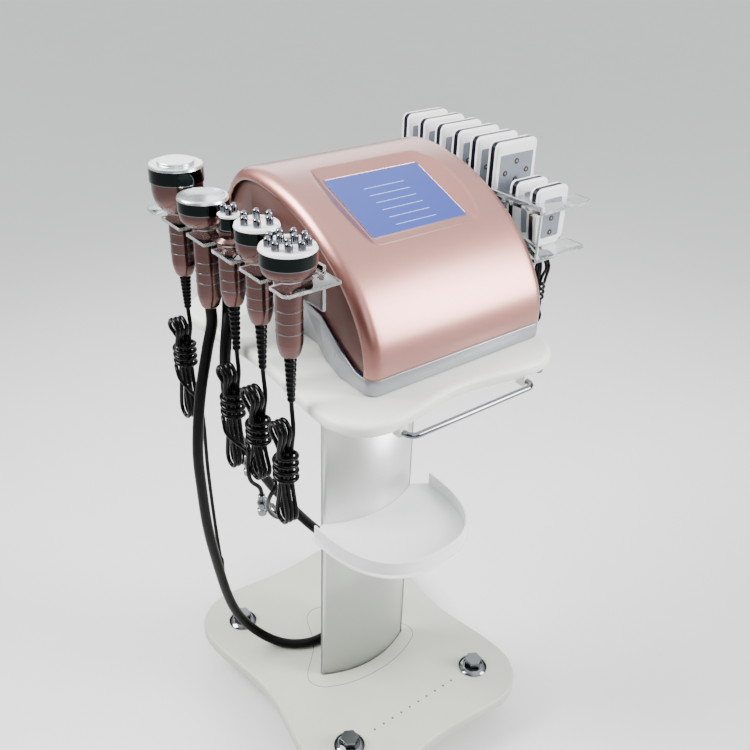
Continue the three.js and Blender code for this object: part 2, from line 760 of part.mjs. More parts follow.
const [postX, postY] = [boardWidth / 2 - postRadius * 2, boardDepth / 2 - postRadius * 2];
const posts = Object.values(corners).map(([sideX, sideY]) => cylinder(
  postRadius, boardPost + caseWall / 2, smallSides,
  boardX + sideX * postX, boardY + sideY * postY, caseFloor - caseWall / 2,
));
const caseVents = ventPlaces.map((i) => box(
  ventWidth, ventSlot, caseWall + overrun * 2, boardX, boardY + i * ventSlot * 2, caseBottom - overrun,
));
place('lower_case', carved(lowerCase, posts, caseVents), 'silver', machineX);

// Side covers, set back behind the shell's rim, with the bosses that carry the holders
function sideCover(side, bossReach, bossYs, bossZ) {
  const top = arch(coverMargin);
  const [frontY, rearY] = [top[0][0], top.at(-1)[0]];
  const bottom = Array.from({ length: coverSteps }, (_, i) => {
    const y = rearY + ((frontY - rearY) * i) / coverSteps;
    return [y, caseBottom + caseTop(y) - coverOverlap];
  });
  const blank = slab(shapeOf([...top, ...bottom]), coverWall);
  blank.rotateX(Math.PI / 2).rotateZ(Math.PI / 2);
  const face = caseHalfWidth - coverSetback;
  blank.translate(side > 0 ? face - coverWall : -face, 0, 0);
  const bosses = bossYs.map((y) => {
    const length = bossReach - face + coverWall / 2;
    const stud = cylinder(bossRadius, length, handleSides).rotateY(Math.PI / 2);
    return stud.translate(side > 0 ? face - coverWall / 2 : -bossReach, y, bossZ);
  });
  return carved(blank, bosses, []);
}
const leftReach = holderRoot + machineX - gap;
const rightReach = combRoot - machineX - gap;
const combBossHeight = (combFlangeTop + combFlangeBottom) / 2;
place('side_cover_left', sideCover(-1, leftReach, holderBosses, bossHeight), 'rosePanel', machineX);
place('side_cover_right', sideCover(1, rightReach, combBosses, combBossHeight), 'rosePanel', machineX);

// Rear panel: fan grille, six sockets, the vacuum port, mains inlet and switch
const panelBottom = caseBottom + caseSideHeight + gap;
const panelTop = archLine.at(-1).z - gap;
const panelHalfWidth = caseHalfWidth - coverSetback - coverWall - panelEdgeGap;
const panelY = archLine.at(-1).y;
const panelMid = (panelBottom + panelTop) / 2;
const panelBack = panelY - panelWall;
const fanX = panelHalfWidth - fanInset;
const inletX = inletInset - panelHalfWidth;
const switchX = inletX + switchOffset;
function through(geometry, x, z) {
  return geometry.rotateX(-Math.PI / 2).translate(x, panelY, z);
}
const grilleRadius = fanSize / 2 - fanWall;
const fanHole = through(
  cylinder(grilleRadius, panelWall + overrun * 2, turnedSides, 0, 0, -panelWall - overrun), fanX, panelMid,
);
const switchHole = box(
  switchWidth + gap * 2, panelWall + overrun * 2, switchHeight + gap * 2,
  switchX, panelY - panelWall / 2, panelMid - switchHeight / 2 - gap,
);
const grille = [-1, 0, 1].map((i) => box(
  fanSize, panelWall, grilleBar,
  fanX, panelY - panelWall / 2, panelMid + i * grilleRadius / 2 - grilleBar / 2,
));
const grillePost = box(grilleBar, panelWall, fanSize, fanX, panelY - panelWall / 2, panelMid - fanSize / 2);
const [upperRow, lowerRow] = [panelMid + rearRowDrop, panelMid - rearRowDrop];
const sockets = socketPlaces.map((i) => through(
  cylinder(socketRadius, socketDepth + panelWall / 2, handleSides, 0, 0, -panelWall / 2),
  i * socketSpacing, lowerRow,
));
const socketBores = socketPlaces.map((i) => through(
  cylinder(socketRadius / 2, socketDepth, smallSides, 0, 0, overrun), i * socketSpacing, lowerRow,
));
const hosePort = through(
  cylinder(hosePortRadius, hosePortDepth + panelWall / 2, handleSides, 0, 0, -panelWall / 2),
  hosePortX, upperRow,
);
const inlet = box(
  inletWidth + panelWall * 2, panelWall * 3, inletHeight + panelWall * 2,
  inletX, panelY - panelWall, panelMid - inletHeight / 2 - panelWall,
);
const inletHollow = box(
  inletWidth, panelWall * 3, inletHeight, inletX, panelY + panelWall / 2, panelMid - inletHeight / 2,
);
const panelBlank = box(
  panelHalfWidth * 2, panelWall, panelTop - panelBottom, 0, panelY - panelWall / 2, panelBottom,
);
const panelHoled = toGeometry(toManifold(panelBlank).subtract(toManifold(fanHole)));
place('rear_panel', carved(
  panelHoled, [...grille, grillePost, ...sockets, hosePort, inlet],
  [switchHole, ...socketBores, inletHollow],
), 'silver', machineX);

const rockerShape = shapeOf([
  [-switchHeight / 2, 0], [-switchHeight / 2, switchDepth], [0, switchDepth - switchProud / 2],
  [switchHeight / 2, switchDepth], [switchHeight / 2, 0],
]);
const rocker = slab(rockerShape, switchWidth).translate(0, 0, -switchWidth / 2).rotateY(-Math.PI / 2)
  .translate(0, panelY + switchProud - switchDepth, 0);
place('power_switch', closed(rocker), 'black', machineX + switchX, 0, panelMid);

// Fan: a square frame on the rear panel with its rotor on a spindle
const fanY = panelBack - gap - fanDepth / 2;
const fanRing = box(fanSize, fanDepth, fanSize, 0, 0, -fanSize / 2);
const fanBore = cylinder(grilleRadius, fanDepth + overrun * 2, turnedSides)
  .rotateX(Math.PI / 2).translate(0, fanDepth / 2 + overrun, 0);
const spokes = [0, 90].map((angle) => box(
  fanSize - fanWall, fanWall, grilleBar, 0, -fanDepth / 2 + fanWall / 2, -grilleBar / 2,
).rotateY(THREE.MathUtils.degToRad(angle)));
const spindle = cylinder(fanSpindle, fanDepth / 2, smallSides).rotateX(Math.PI / 2);
place('fan_frame', carved(
  toGeometry(toManifold(fanRing).subtract(toManifold(fanBore))), [...spokes, spindle], [],
), 'black', machineX + fanX, fanY, panelMid);

const rotorDepth = fanDepth - fanWall - runningGap * 3;
const bladeLength = grilleRadius - fanBladeClearance - fanHubRadius + fanBladeThickness;
const bladeHeight = rotorDepth - fanBladePitch / 2;
const blades = Array.from({ length: fanBlades }, (_, i) => box(
  bladeLength, fanBladeThickness, bladeHeight, 0, 0, -bladeHeight / 2,
).rotateX(THREE.MathUtils.degToRad(-fanBladeTurn))
  .translate(fanHubRadius + bladeLength / 2 - fanBladeThickness, 0, 0)
  .rotateZ((2 * Math.PI * i) / fanBlades));
const hub = cylinder(fanHubRadius, rotorDepth, handleSides, 0, 0, -rotorDepth / 2);
const spindleBore = cylinder(
  fanSpindle + runningGap, rotorDepth - fanWall, smallSides, 0, 0, -rotorDepth / 2 - overrun,
);
const rotor = carved(hub, blades, [spindleBore]);
rotor.rotateX(-Math.PI / 2);
place('fan_rotor', rotor, 'grey', machineX + fanX, fanY + fanWall / 2 + runningGap, panelMid);

// Inside the case: main board on posts, power supply and vacuum pump on the floor
const boardZ = caseFloor + boardPost + gap;
const chips = chipShares.map(([across, along, size]) => box(
  boardWidth * size, boardDepth * size, boardWidth * size / 2,
  boardX + across * boardWidth, boardY + along * boardDepth, boardZ + boardWall / 2,
));
const board = carved(box(boardWidth, boardDepth, boardWall, boardX, boardY, boardZ), chips, []);
place('main_board', board, 'board', machineX);
const supplyX = footHalfWidth - supplySideGap - supplyWidth / 2;
const supplyY = supplyFrontGap + supplyDepth / 2 - caseHalfDepth;
const supply = box(supplyWidth, supplyDepth, supplyHeight, supplyX, supplyY, caseFloor + gap);
place('power_supply', supply, 'steel', machineX);
const pumpX = pumpSideGap + pumpRadius - footHalfWidth;
const pumpY = pumpFrontGap + pumpLength / 2 - caseHalfDepth;
const pumpBody = cylinder(pumpRadius, pumpLength, turnedSides)
  .rotateX(Math.PI / 2).translate(0, pumpLength / 2, pumpRadius + pumpFoot);
const pumpHead = box(pumpHeadWidth, pumpHeadDepth, pumpHeadWidth, 0, -pumpLength / 2, pumpFoot);
const pumpBase = box(pumpHeadWidth, pumpLength, pumpRadius + pumpFoot, 0, 0, 0);
const pump = carved(pumpBody, [pumpHead, pumpBase], []);
place('vacuum_pump', pump, 'grey', machineX + pumpX, pumpY, caseFloor + gap);

// Handpiece holder: keyholes open at the tip, so a cord slips in sideways and the flare rests on top
const handpieceYs = handpieces.map((size) => size.y);
const mouth = THREE.MathUtils.radToDeg(Math.asin(keyholeMouth / 2 / keyholeRadius));
const keyholes = [...handpieceYs].reverse().flatMap((y) => [
  [-holderTip, y - keyholeMouth / 2],
  ...arc(keyholeRadius, 180 + mouth, 540 - mouth, bulgeSteps, handpieceX, y),
  [-holderTip, y + keyholeMouth / 2],
]);
const tipRound = holderThickness;
const holderOutline = [
  [-holderRoot, holderBack], [-holderTip + tipRound, holderBack], [-holderTip, holderBack - tipRound],
  ...keyholes.reverse(), [-holderTip, holderFront + tipRound], [-holderTip + tipRound, holderFront],
  [-holderRoot, holderFront],
];
const holderPlate = slab(shapeOf(holderOutline), holderThickness, holderUnderside);
const [flangeFront, flangeBack] = [holderFront + flangeFrontInset, holderBack - flangeBackInset];
const holderFlange = box(
  holderThickness, flangeBack - flangeFront, flangeAbove + flangeBelow,
  -holderRoot - holderThickness / 2, (flangeBack + flangeFront) / 2, holderTop - flangeBelow,
);
place('handpiece_holder', carved(holderPlate, [holderFlange], []), 'clear');

// Handpieces: a turned handle whose flare rests on the holder, and the head on top
function handleProfile(size) {
  const seat = holderTop + gap;
  const rings = [0, 1, 2].flatMap((i) => {
    const z = size.bottom + size.ringRise + i * handleRingStep;
    return [
      [handleRadius, z], [handleRadius + handleRingRise, z + handleRingHeight / 2],
      [handleRadius, z + handleRingHeight],
    ];
  });
  const wide = size.headRadius - size.lip;
  const flare = size.headRadius < handleRadius
    ? [[handleNeck, seat - seatClearance], [collarRadius, seat], [collarRadius, seat + collarHeight],
      [wide, seat + collarHeight * 2], [wide, size.band - gap]]
    : [[handleNeck, seat - seatClearance], [flareSeat + overrun, seat],
      ...bowlShares.map(([rise, spread]) => [
        flareSeat + (wide - flareSeat) * spread, seat + (size.band - seat) * rise,
      ]),
      [wide, size.band - gap]];
  const [footRadius, footRise] = [handleRadius * handleFootShares[0], handleRound * handleFootShares[1]];
  return [
    [0, size.bottom], [handleTip, size.bottom], [footRadius, size.bottom + footRise],
    [handleRadius, size.bottom + handleRound], ...rings, ...flare, [0, size.band - gap],
  ];
}

function headGeometry(name, size) {
  const { headRadius: outer, faceRadius: face } = size;
  const faceTop = size.top + faceRise;
  const sides = outer > handleRadius ? turnedSides : handleSides;
  const rim = [[0, size.band], [outer, size.band], [outer, size.top], [face, faceTop]];
  if (name === 'cavitation') {
    const discTop = faceTop + boltedDiscRise;
    return turned([...rim, [boltedDiscRadius, faceTop], [boltedDiscRadius, discTop], [0, discTop]], sides);
  }
  if (name === 'vacuum') {
    const dishTop = faceTop - cupDish;
    return turned([...rim, [face - faceRise, faceTop], [face / 2, dishTop], [0, dishTop]], sides);
  }
  const disc = turned([...rim, [0, faceTop]], sides);
  const poles = poleRings[name].flatMap(([count, radius]) => Array.from({ length: count }, (_, i) => {
    const angle = (2 * Math.PI * i) / count;
    const pole = turned([
      [0, -faceRise / 2], [poleRadius, -faceRise / 2], [poleRadius, poleRise - poleRadius / 2],
      [0, poleRise],
    ], poleSides);
    return pole.translate(radius * Math.cos(angle), radius * Math.sin(angle), faceTop);
  }));
  return carved(disc, poles, []);
}

handpieces.forEach((size, i) => {
  const name = headNames[i];
  place(`handle_${name}`, turned(handleProfile(size), handleSides), 'rose', handpieceX, handpieceYs[i]);
  place(`head_${name}`, headGeometry(name, size), 'chrome', handpieceX, handpieceYs[i]);
});

// Pads and their comb. Each pad stands in a notch of the upper plate, on the lower plate.
const padSizes = [...Array(largePads).fill(largePad), ...Array(smallPads).fill(smallPad)];
const padYs = padSizes.map((_, i) => padFirstY - padPitch * i);
const [combFront, combBack] = [padYs.at(-1) - combFrontMargin, padFirstY + combBackMargin];
function combOutline(startOf, widthOf) {
  const notches = padYs.flatMap((y, i) => {
    const half = widthOf(i) / 2;
    const start = startOf(i);
    return [[combTip, y + half], [start, y + half], [start, y - half], [combTip, y - half]];
  });
  return shapeOf([
    [combRoot, combBack], [combTip - tipRound, combBack], [combTip, combBack - tipRound], ...notches,
    [combTip, combFront + tipRound], [combTip - tipRound, combFront], [combRoot, combFront],
  ]);
}
const upperComb = slab(combOutline(
  (i) => padX - padSizes[i].width / 2 - padClearance, () => padThickness + padClearance * 2,
), combThickness, combTop - combThickness);
const lowerComb = slab(
  combOutline(() => padCordX - cordNotchStart, () => cordNotch), combThickness, combShelf - combThickness,
);
const combFlange = box(
  combThickness, combBack - combFront - padClearance * 2, combFlangeTop - combFlangeBottom,
  combRoot + combThickness / 2, (combBack + combFront) / 2, combFlangeBottom,
);
place('pad_comb', carved(upperComb, [lowerComb, combFlange], []), 'clear');

function padGeometry({ width, height, chamfer }) {
  const [x, z] = [width / 2 - padEdge, height - padEdge * 2];
  const shape = shapeOf([
    [chamfer - x, 0], [x - chamfer, 0], [x, chamfer],
    ...arc(padCorner, 0, 90, roundSteps, x - padCorner, z - padCorner),
    ...arc(padCorner, 90, 180, roundSteps, padCorner - x, z - padCorner),
    [-x, chamfer],
  ]);
  const geometry = new THREE.ExtrudeGeometry(shape, {
    depth: padThickness - padEdge * 2, bevelSegments: 1, bevelSize: padEdge, bevelThickness: padEdge,
  });
  return geometry.rotateX(Math.PI / 2).translate(0, padThickness / 2 - padEdge, padEdge);
}
const largePadGeometry = closed(padGeometry(largePad));
const smallPadGeometry = closed(padGeometry(smallPad));
padYs.forEach((y, i) => {
  const large = i < largePads;
  const name = large ? `large_pad_${i + 1}` : `small_pad_${i + 1 - largePads}`;
  place(name, large ? largePadGeometry : smallPadGeometry, 'white', padX, y, combShelf + gap);
});

// Tube of changing radius along points, with its frame carried along the path
function swept(points, radii, sides) {
  const rings = [];
  let side = new THREE.Vector3(1, 0, 0);
  points.forEach((point, i) => {
    const before = points[Math.max(i - 1, 0)];
    const after = points[Math.min(i + 1, points.length - 1)];
    const tangent = after.clone().sub(before).normalize();
    side = side.clone().addScaledVector(tangent, -side.dot(tangent)).normalize();
    const across = tangent.clone().cross(side);
    rings.push(arc(radii[i], 0, 360 - 360 / sides, sides - 1).map(([u, v]) => (
      point.clone().addScaledVector(side, u).addScaledVector(across, v))));
  });
  return lofted(rings);
}

// Route of a hank in (along, out, up): loops drawn in at the waist, then turns wound round it
function hankRoute({ top, wrapTop, wrapBottom, bottom, loops, turns, lobe, stack, waist, start, radius }) {
  const outOf = (k) => start + k * stack;
  const route = [[-lobe / 2, start / 2, top - hankArc]];
  for (let k = 0; k < loops; k += 1) {
    route.push([-waist, outOf(k), wrapTop + radius * 2], [-waist, outOf(k), wrapBottom - radius * 2]);
    for (let i = 0; i <= lobeSteps; i += 1) {
      const angle = Math.PI * (1 + i / lobeSteps);
      route.push([lobe * Math.cos(angle), outOf(k), bottom + hankArc + hankArc * Math.sin(angle)]);
    }
    route.push([waist, outOf(k), wrapBottom - radius * 2], [waist, outOf(k), wrapTop + radius * 2]);
    for (let i = 0; i <= lobeSteps; i += 1) {
      const angle = (Math.PI * i) / lobeSteps;
      route.push([lobe * Math.cos(angle), outOf(k + 1), top - hankArc + hankArc * Math.sin(angle)]);
    }
  }
  const spread = ((loops - 1) * stack) / 2;
  const reach = Math.hypot(waist, spread) + radius * 2 + hankClearance;
  const from = Math.PI - Math.asin((spread + stack) / reach);
  const total = turns * 2 * Math.PI + Math.PI / 2 - from;
  const steps = Math.round(turns * hankTurnSteps);
  for (let i = 0; i <= steps; i += 1) {
    const angle = from + (total * i) / steps;
    const height = wrapTop + (wrapBottom - wrapTop) * (i / steps);
    route.push([reach * Math.cos(angle), start + spread + reach * Math.sin(angle), height]);
  }
  return { route, tail: start + spread + reach };
}

// Least gap of a tube to itself, measured on points along its centre line
function leastGap(points, radius) {
  const fine = [];
  let length = 0;
  for (let i = 1; i < points.length; i += 1) {
    const span = points[i].distanceTo(points[i - 1]);
    const steps = Math.ceil(span / radius);
    for (let k = 0; k < steps; k += 1) {
      fine.push({ at: length + (span * k) / steps, point: points[i - 1].clone().lerp(points[i], k / steps) });
    }
    length += span;
  }
  let least = Infinity;
  for (let i = 0; i < fine.length; i += 1) {
    for (let j = i + 1; j < fine.length; j += 1) {
      const between = fine[i].point.distanceTo(fine[j].point) - radius * 2;
      if (fine[j].at - fine[i].at > radius * 6) least = Math.min(least, between);
    }
  }
  return least;
}

// Handpiece cords: ribbed strain relief, lead, hank and tail in one unbroken tube. Tails are points
// in (along, out, up), and the first ends in a moulded connector.
const cords = [
  { hand: 0, reliefEnd: -53, top: -67, wrapTop: -109, wrapBottom: -151, bottom: -242, lobe: 14, connector: 2,
    tail: [[-10, 29, -163], [-21, 20, -181], [-23, 8, -202], [-22, 1.6, -228], [-22, -0.4, -346],
      [-22, -6.3, -476], [-22, -11.3, -548], [-22, -11.4, -549], [-22, -13.6, -583]] },
  { hand: 2, reliefEnd: -69, top: -89, wrapTop: -133, wrapBottom: -179, bottom: -263, lobe: 12, connector: 0,
    tail: [[-6, 29, -195], [-26, 18, -211], [-29, 8, -223], [-29, 8, -230]] },
  { hand: 3, reliefEnd: -68, top: -92, wrapTop: -144, wrapBottom: -188, bottom: -243, lobe: 15, connector: 0,
    tail: [[0, 30, -212], [0, 30, -236], [0, 24, -252], [-1, 15, -260], [-2, 12, -269], [-2, 12, -276]] },
  { hand: 4, reliefEnd: -67, top: -92, wrapTop: -146, wrapBottom: -192, bottom: -260, lobe: 13, connector: 0,
    tail: [[4, 34, -208], [22, 30, -242], [36, 12, -276], [52, -10, -302], [64, -17, -311], [76, -17, -311]] },
];
const hankShape = {
  loops: 3, turns: 4, stack: hankStack, waist: hankWaist, start: hankStart, radius: cordRadius,
};
const hankNames = [];
cords.forEach((cord) => {
  const size = handpieces[cord.hand];
  const { route } = hankRoute({ ...cord, ...hankShape });
  const ribSteps = reliefRibs * 2 + 1;
  const relief = Array.from({ length: ribSteps + 1 }, (_, i) => [0, 0, (cord.reliefEnd * i) / ribSteps]);
  const reliefRadii = relief.map((_, i) => (
    reliefTopRadius + ((reliefBottomRadius - reliefTopRadius) * i) / ribSteps + (i % 2 ? reliefRib : 0)));
  const stations = [...relief, [0, 0, cord.reliefEnd - cordRadius], ...route, ...cord.tail];
  const points = stations.map(([along, out, up]) => (
    new THREE.Vector3(handpieceX - out, size.y + along, size.bottom - gap + up)));
  const connectorStart = stations.length - cord.connector;
  const radii = stations.map((_, i) => reliefRadii[i] ?? (i < connectorStart ? cordRadius : cordEndRadius));
  const name = `cord_${headNames[cord.hand]}`;
  place(name, swept(points, radii, cordSides), 'black');
  hankNames.push(`${name} ${leastGap(points.slice(relief.length), cordRadius).toFixed(2)}`);
});

// Pad cords: a hank under each small pad, ending in a moulded connector
const padTail = [[0, 0, -116], [1, -1, -140], [2, -2, -156], [2, -2, -157], [2, -2, -171]];
padHanks.forEach((hank, i) => {
  const { route, tail } = hankRoute(hank);
  const stations = [
    [0, 0, 0], [0, 0, -combThickness * 2], ...route,
    ...padTail.map(([along, out, up]) => [along, tail + out, up]),
  ];
  const points = stations.map(([along, out, up]) => (
    new THREE.Vector3(padCordX + out, padYs[largePads + i] + along, combShelf + up)));
  const radii = stations.map((_, k) => (k < stations.length - 2 ? padCordRadius : padCordEndRadius));
  const name = `cord_small_pad_${i + 1}`;
  place(name, swept(points, radii, cordSides), 'black');
  hankNames.push(`${name} ${leastGap(points, padCordRadius).toFixed(2)}`);
});
console.log(`least gap of each hank to itself in mm: ${hankNames.join(', ')}`);

// Vacuum hose: down from the second handpiece, over the base behind the column and up to the rear
// port. The three stretches have their heights from the handle, the base plate and the shelf.
const hoseHand = handpieces[1];
const hoseStart = hoseHand.bottom - gap;
const portX = machineX + hosePortX;
const portEnd = panelY + hosePortDepth;
const hoseDown = [
  [-232, 72, -64], [-251, 71, -144], [-262, 71, -234], [-260, 73, -314], [-252, 79, -404], [-231, 93, -514],
];
const hoseLow = [
  [-213.3, 104.7, 169.8], [-197.4, 112.7, 118.7], [-182.5, 115.9, 82.4], [-167.8, 113.7, 55.2],
  [-153.1, 106.2, 34.7], [-138.4, 94.4, 20.5], [-123.6, 80.4, 12.4], [-108, 66.3, 9.3], [-91.1, 54.3, 9],
  [-72, 46, 9], [-50, 43, 9], [-15, 44, 11], [22, 47, 29], [47, 54, 64], [56, 60, 108], [46, 63, 153],
  [16, 63, 196], [-30, 61, 245], [-78, 60, 310],
];
const hoseUp = [
  [-118, 59, -327], [-156, 57, -260], [-193, 52, -185], [-217, 45, -100], [-221, 41, -20], [-217, 42, 15],
  [-206, 53, 46], [-191, 78, 68], [-178, 113, 81], [-168, 155, 88], [-163, 198, 90], [-163, 235, 91],
  [-157.5, 261.5, 95], [-143, 284, 101], [-120.5, 298.5, 108], [-94, 304, 116], [-67.5, 298.5, 127],
  [-45, 284, 138], [-30.5, 261.5, 147],
];
const hoseRoute = [
  [handpieceX, hoseHand.y, hoseStart], [handpieceX, hoseHand.y, hoseStart - hoseRadius * 3],
  ...hoseDown.map(([x, y, up]) => [x, y, hoseHand.bottom + up]),
  ...hoseLow.map(([x, y, up]) => [x, y, plateTop + up]),
  ...hoseUp.map(([x, y, up]) => [x, y, shelfHeight + up]),
  [portX, portEnd + hoseRadius * 4, upperRow], [portX, portEnd + gap, upperRow],
].map(([x, y, z]) => new THREE.Vector3(x, y, z));
const hosePath = new THREE.CatmullRomCurve3(hoseRoute, false, 'centripetal');
const hoseSection = shapeOf(arc(hoseRadius, 0, 360 - 360 / hoseSides, hoseSides - 1));
const hose = new THREE.ExtrudeGeometry(hoseSection, {
  steps: hoseSteps, extrudePath: hosePath, bevelEnabled: false,
});
place('vacuum_hose', closed(hose), 'black');

// Cord plugs: a knurled barrel with a ring and an open socket end
const [ringFoot, ringStart, ringEnd, collarFoot, collarStart] = plugShares.map((share) => plugLength * share);
const plugBody = turned([
  [0, 0], [plugBarrel, 0], [plugBarrel, ringFoot], [plugRadius, ringStart],
  [plugRadius, ringStart + plugRing], [plugBarrel, ringEnd], [plugBarrel, collarFoot],
  [plugRadius, collarStart], [plugRadius, plugLength], [0, plugLength],
], smallSides);
const plugHollow = cylinder(plugBore, plugBoreDepth + overrun, smallSides, 0, 0, plugLength - plugBoreDepth);
const plugGeometry = carved(plugBody, [], [plugHollow]);
function plug(cord, turn) {
  const [along, out, up] = cord.tail.at(-1);
  const size = handpieces[cord.hand];
  const mesh = place(
    `plug_${headNames[cord.hand]}`, plugGeometry, 'chrome',
    handpieceX - out, size.y + along, size.bottom - gap + up,
  );
  mesh.rotation.x = turn;
  mesh.translateZ(gap);
}
plug(cords[1], Math.PI);
plug(cords[2], Math.PI);
plug(cords[3], -Math.PI / 2);

// The origin is on the floor under the middle of everything but the cords and their plugs.
const footprint = new THREE.Box3();
for (const mesh of object.children) {
  if (!/^(cord|plug|vacuum_hose)/.test(mesh.name)) footprint.expandByObject(mesh);
}
const middle = footprint.getCenter(new THREE.Vector3());
object.position.set(-middle.x, -middle.y, 0);

export default object;
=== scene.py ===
import math

import bmesh
import bpy
from mathutils import Matrix, Vector


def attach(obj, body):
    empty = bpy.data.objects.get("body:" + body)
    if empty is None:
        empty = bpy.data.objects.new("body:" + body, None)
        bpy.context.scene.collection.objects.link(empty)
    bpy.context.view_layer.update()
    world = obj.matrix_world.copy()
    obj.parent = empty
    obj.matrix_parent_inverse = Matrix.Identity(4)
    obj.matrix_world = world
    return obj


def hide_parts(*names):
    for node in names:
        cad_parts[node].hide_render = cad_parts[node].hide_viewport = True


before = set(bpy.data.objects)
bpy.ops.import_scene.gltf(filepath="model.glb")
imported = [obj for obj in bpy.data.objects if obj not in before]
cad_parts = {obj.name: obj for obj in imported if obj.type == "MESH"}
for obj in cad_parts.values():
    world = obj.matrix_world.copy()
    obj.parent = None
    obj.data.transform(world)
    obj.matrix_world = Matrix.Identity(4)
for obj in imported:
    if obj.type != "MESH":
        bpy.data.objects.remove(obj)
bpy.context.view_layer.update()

# The photograph's view, from the front left and above. The camera's place, turn and lens are
# those that put the screen, the shelf, the tray and the base where the photograph has them.
camera = bpy.data.objects.new("camera", bpy.data.cameras.new("camera"))
bpy.context.scene.collection.objects.link(camera)
bpy.context.scene.camera = camera
camera.data.lens = 42.16
turn, tip, roll = (math.radians(angle) for angle in (-38.8, 30.1, 1.9))
behind = Vector((math.sin(turn) * math.cos(tip), -math.cos(turn) * math.cos(tip), math.sin(tip)))
across = Vector((math.cos(turn), math.sin(turn), 0))
upward = behind.cross(across)
camera.matrix_world = Matrix.Translation((-0.7909, -0.9683, 1.4018)) @ Matrix((
    across * math.cos(roll) + upward * math.sin(roll),
    upward * math.cos(roll) - across * math.sin(roll),
    behind,
)).transposed().to_4x4()


# Studio: a plain pale floor under a room that is bright overhead and dim to the left, with four
# large soft lamps. The strongest stands at the front right, as the long highlight on the shell tells.
def linear(code):
    """A colour given in sRGB hex, as the linear values that a shader takes."""
    parts = [int(code[i:i + 2], 16) / 255 for i in (0, 2, 4)]
    return (*[c / 12.92 if c <= 0.04045 else ((c + 0.055) / 1.055) ** 2.4 for c in parts], 1)


def add(tree, kind, inputs=None, into=None, **settings):
    """One shader node with its settings and its links; its first output may go into a socket."""
    made = tree.nodes.new(kind)
    for key, value in settings.items():
        setattr(made, key, value)
    for key, value in (inputs or {}).items():
        if isinstance(value, bpy.types.NodeSocket):
            tree.links.new(value, made.inputs[key])
        else:
            made.inputs[key].default_value = value
    if into:
        tree.links.new(made.outputs[0], into)
    return made


def finish(name, settings):
    """A material whose shader holds these values, with what is needed to add a pattern to it."""
    made = bpy.data.materials.new(name)
    made.use_nodes = True
    shader = made.node_tree.nodes["Principled BSDF"]
    for key, value in settings.items():
        shader.inputs[key].default_value = value
    place = add(made.node_tree, "ShaderNodeTexCoord").outputs["Object"]
    return made, made.node_tree, shader.inputs, place


def surface(name, settings, patterns):
    """A finish whose sockets follow noise. A pattern is its grain in mm, its detail and two values:
    the ends of a roughness or of a colour in hex, or the strength and depth in metres of a relief."""
    made, tree, shader, place = finish(name, settings)
    for socket, (grain, detail, first, last) in patterns.items():
        noise = add(tree, "ShaderNodeTexNoise", {
            "Vector": place, "Scale": 1000 / grain, "Detail": detail}).outputs["Fac"]
        if socket == "Roughness":
            add(tree, "ShaderNodeMapRange", {"Value": noise, "To Min": first, "To Max": last},
                into=shader[socket])
        elif socket == "Normal":
            add(tree, "ShaderNodeBump", {"Height": noise, "Strength": first, "Distance": last},
                into=shader[socket])
        else:
            tone = add(tree, "ShaderNodeMix", {0: noise, 6: linear(first), 7: linear(last)},
                       data_type="RGBA")
            tree.links.new(tone.outputs[2], shader[socket])
    return made


# Floor: smooth painted board, matt, with a faint mottle.
floor_paint = surface("painted_floor", {"Roughness": 0.75}, {"Base Color": (250, 3, "D6D6D5", "DADAD9")})
bm = bmesh.new()
bmesh.ops.create_grid(bm, x_segments=1, y_segments=1, size=14)
floor = bpy.data.objects.new("floor", bpy.data.meshes.new("floor"))
bm.to_mesh(floor.data)
bm.free()
floor.data.materials.append(floor_paint)
bpy.context.scene.collection.objects.link(floor)

aim = Vector((0, 0, 0.8))
for name, spot, wide, tall, power, spread in (
        ("lamp_right", (2.2, -2.6, 2.1), 1.3, 2.6, 66, 80),
        ("lamp_left", (-1.8, 1.1, 2.6), 1.4, 1.4, 62, 90),
        ("lamp_back", (1.4, 2.7, 2.1), 3.0, 1.4, 12, 90),
        ("lamp_front", (-1.2, -2.4, 2.3), 1.4, 1.4, 14, 180)):
    light = bpy.data.lights.new(name, "AREA")
    light.shape = "RECTANGLE"
    light.size = wide
    light.size_y = tall
    light.energy = power
    light.spread = math.radians(spread)
    lamp = bpy.data.objects.new(name, light)
    lamp.location = spot
    lamp.rotation_euler = (aim - lamp.location).to_track_quat("-Z", "Y").to_euler()
    bpy.context.scene.collection.objects.link(lamp)
room = bpy.data.worlds.new("room")
bpy.context.scene.world = room
room.use_nodes = True
sky = add(room.node_tree, "ShaderNodeSeparateXYZ", {
    "Vector": add(room.node_tree, "ShaderNodeTexCoord").outputs["Generated"]})
upper = add(room.node_tree, "ShaderNodeMapRange", {
    "Value": sky.outputs["Z"], "From Min": 0.2, "From Max": 0.95, "To Min": 0.12, "To Max": 2.7},
    interpolation_type="SMOOTHSTEP")
dim_left = add(room.node_tree, "ShaderNodeMapRange", {
    "Value": sky.outputs["X"], "From Min": -0.75, "From Max": 0.1, "To Min": 0.12},
    interpolation_type="SMOOTHSTEP")
lit = add(room.node_tree, "ShaderNodeMath", {0: upper.outputs["Result"], 1: dim_left.outputs["Result"]},
          operation="MULTIPLY")
seen = add(room.node_tree, "ShaderNodeLightPath").outputs["Is Camera Ray"]
add(room.node_tree, "ShaderNodeMath", {0: seen, 1: lit.outputs["Value"]},
    into=room.node_tree.nodes["Background"].inputs["Strength"], operation="MAXIMUM")
room.node_tree.nodes["Background"].inputs["Color"].default_value = linear("F4F6F8")

# Casters: a chromed bolt with a cup washer and a hex nut holds each one in the base. A black
# nylon fork with a rounded hood swivels on it, over two wheels of grey rubber on one axle.
ROOT = "trolley_and_machine"
ZERO = Vector((-40.7, 0, 0))
TO_FRAME = Matrix.Scale(0.001, 4) @ Matrix.Translation(ZERO)


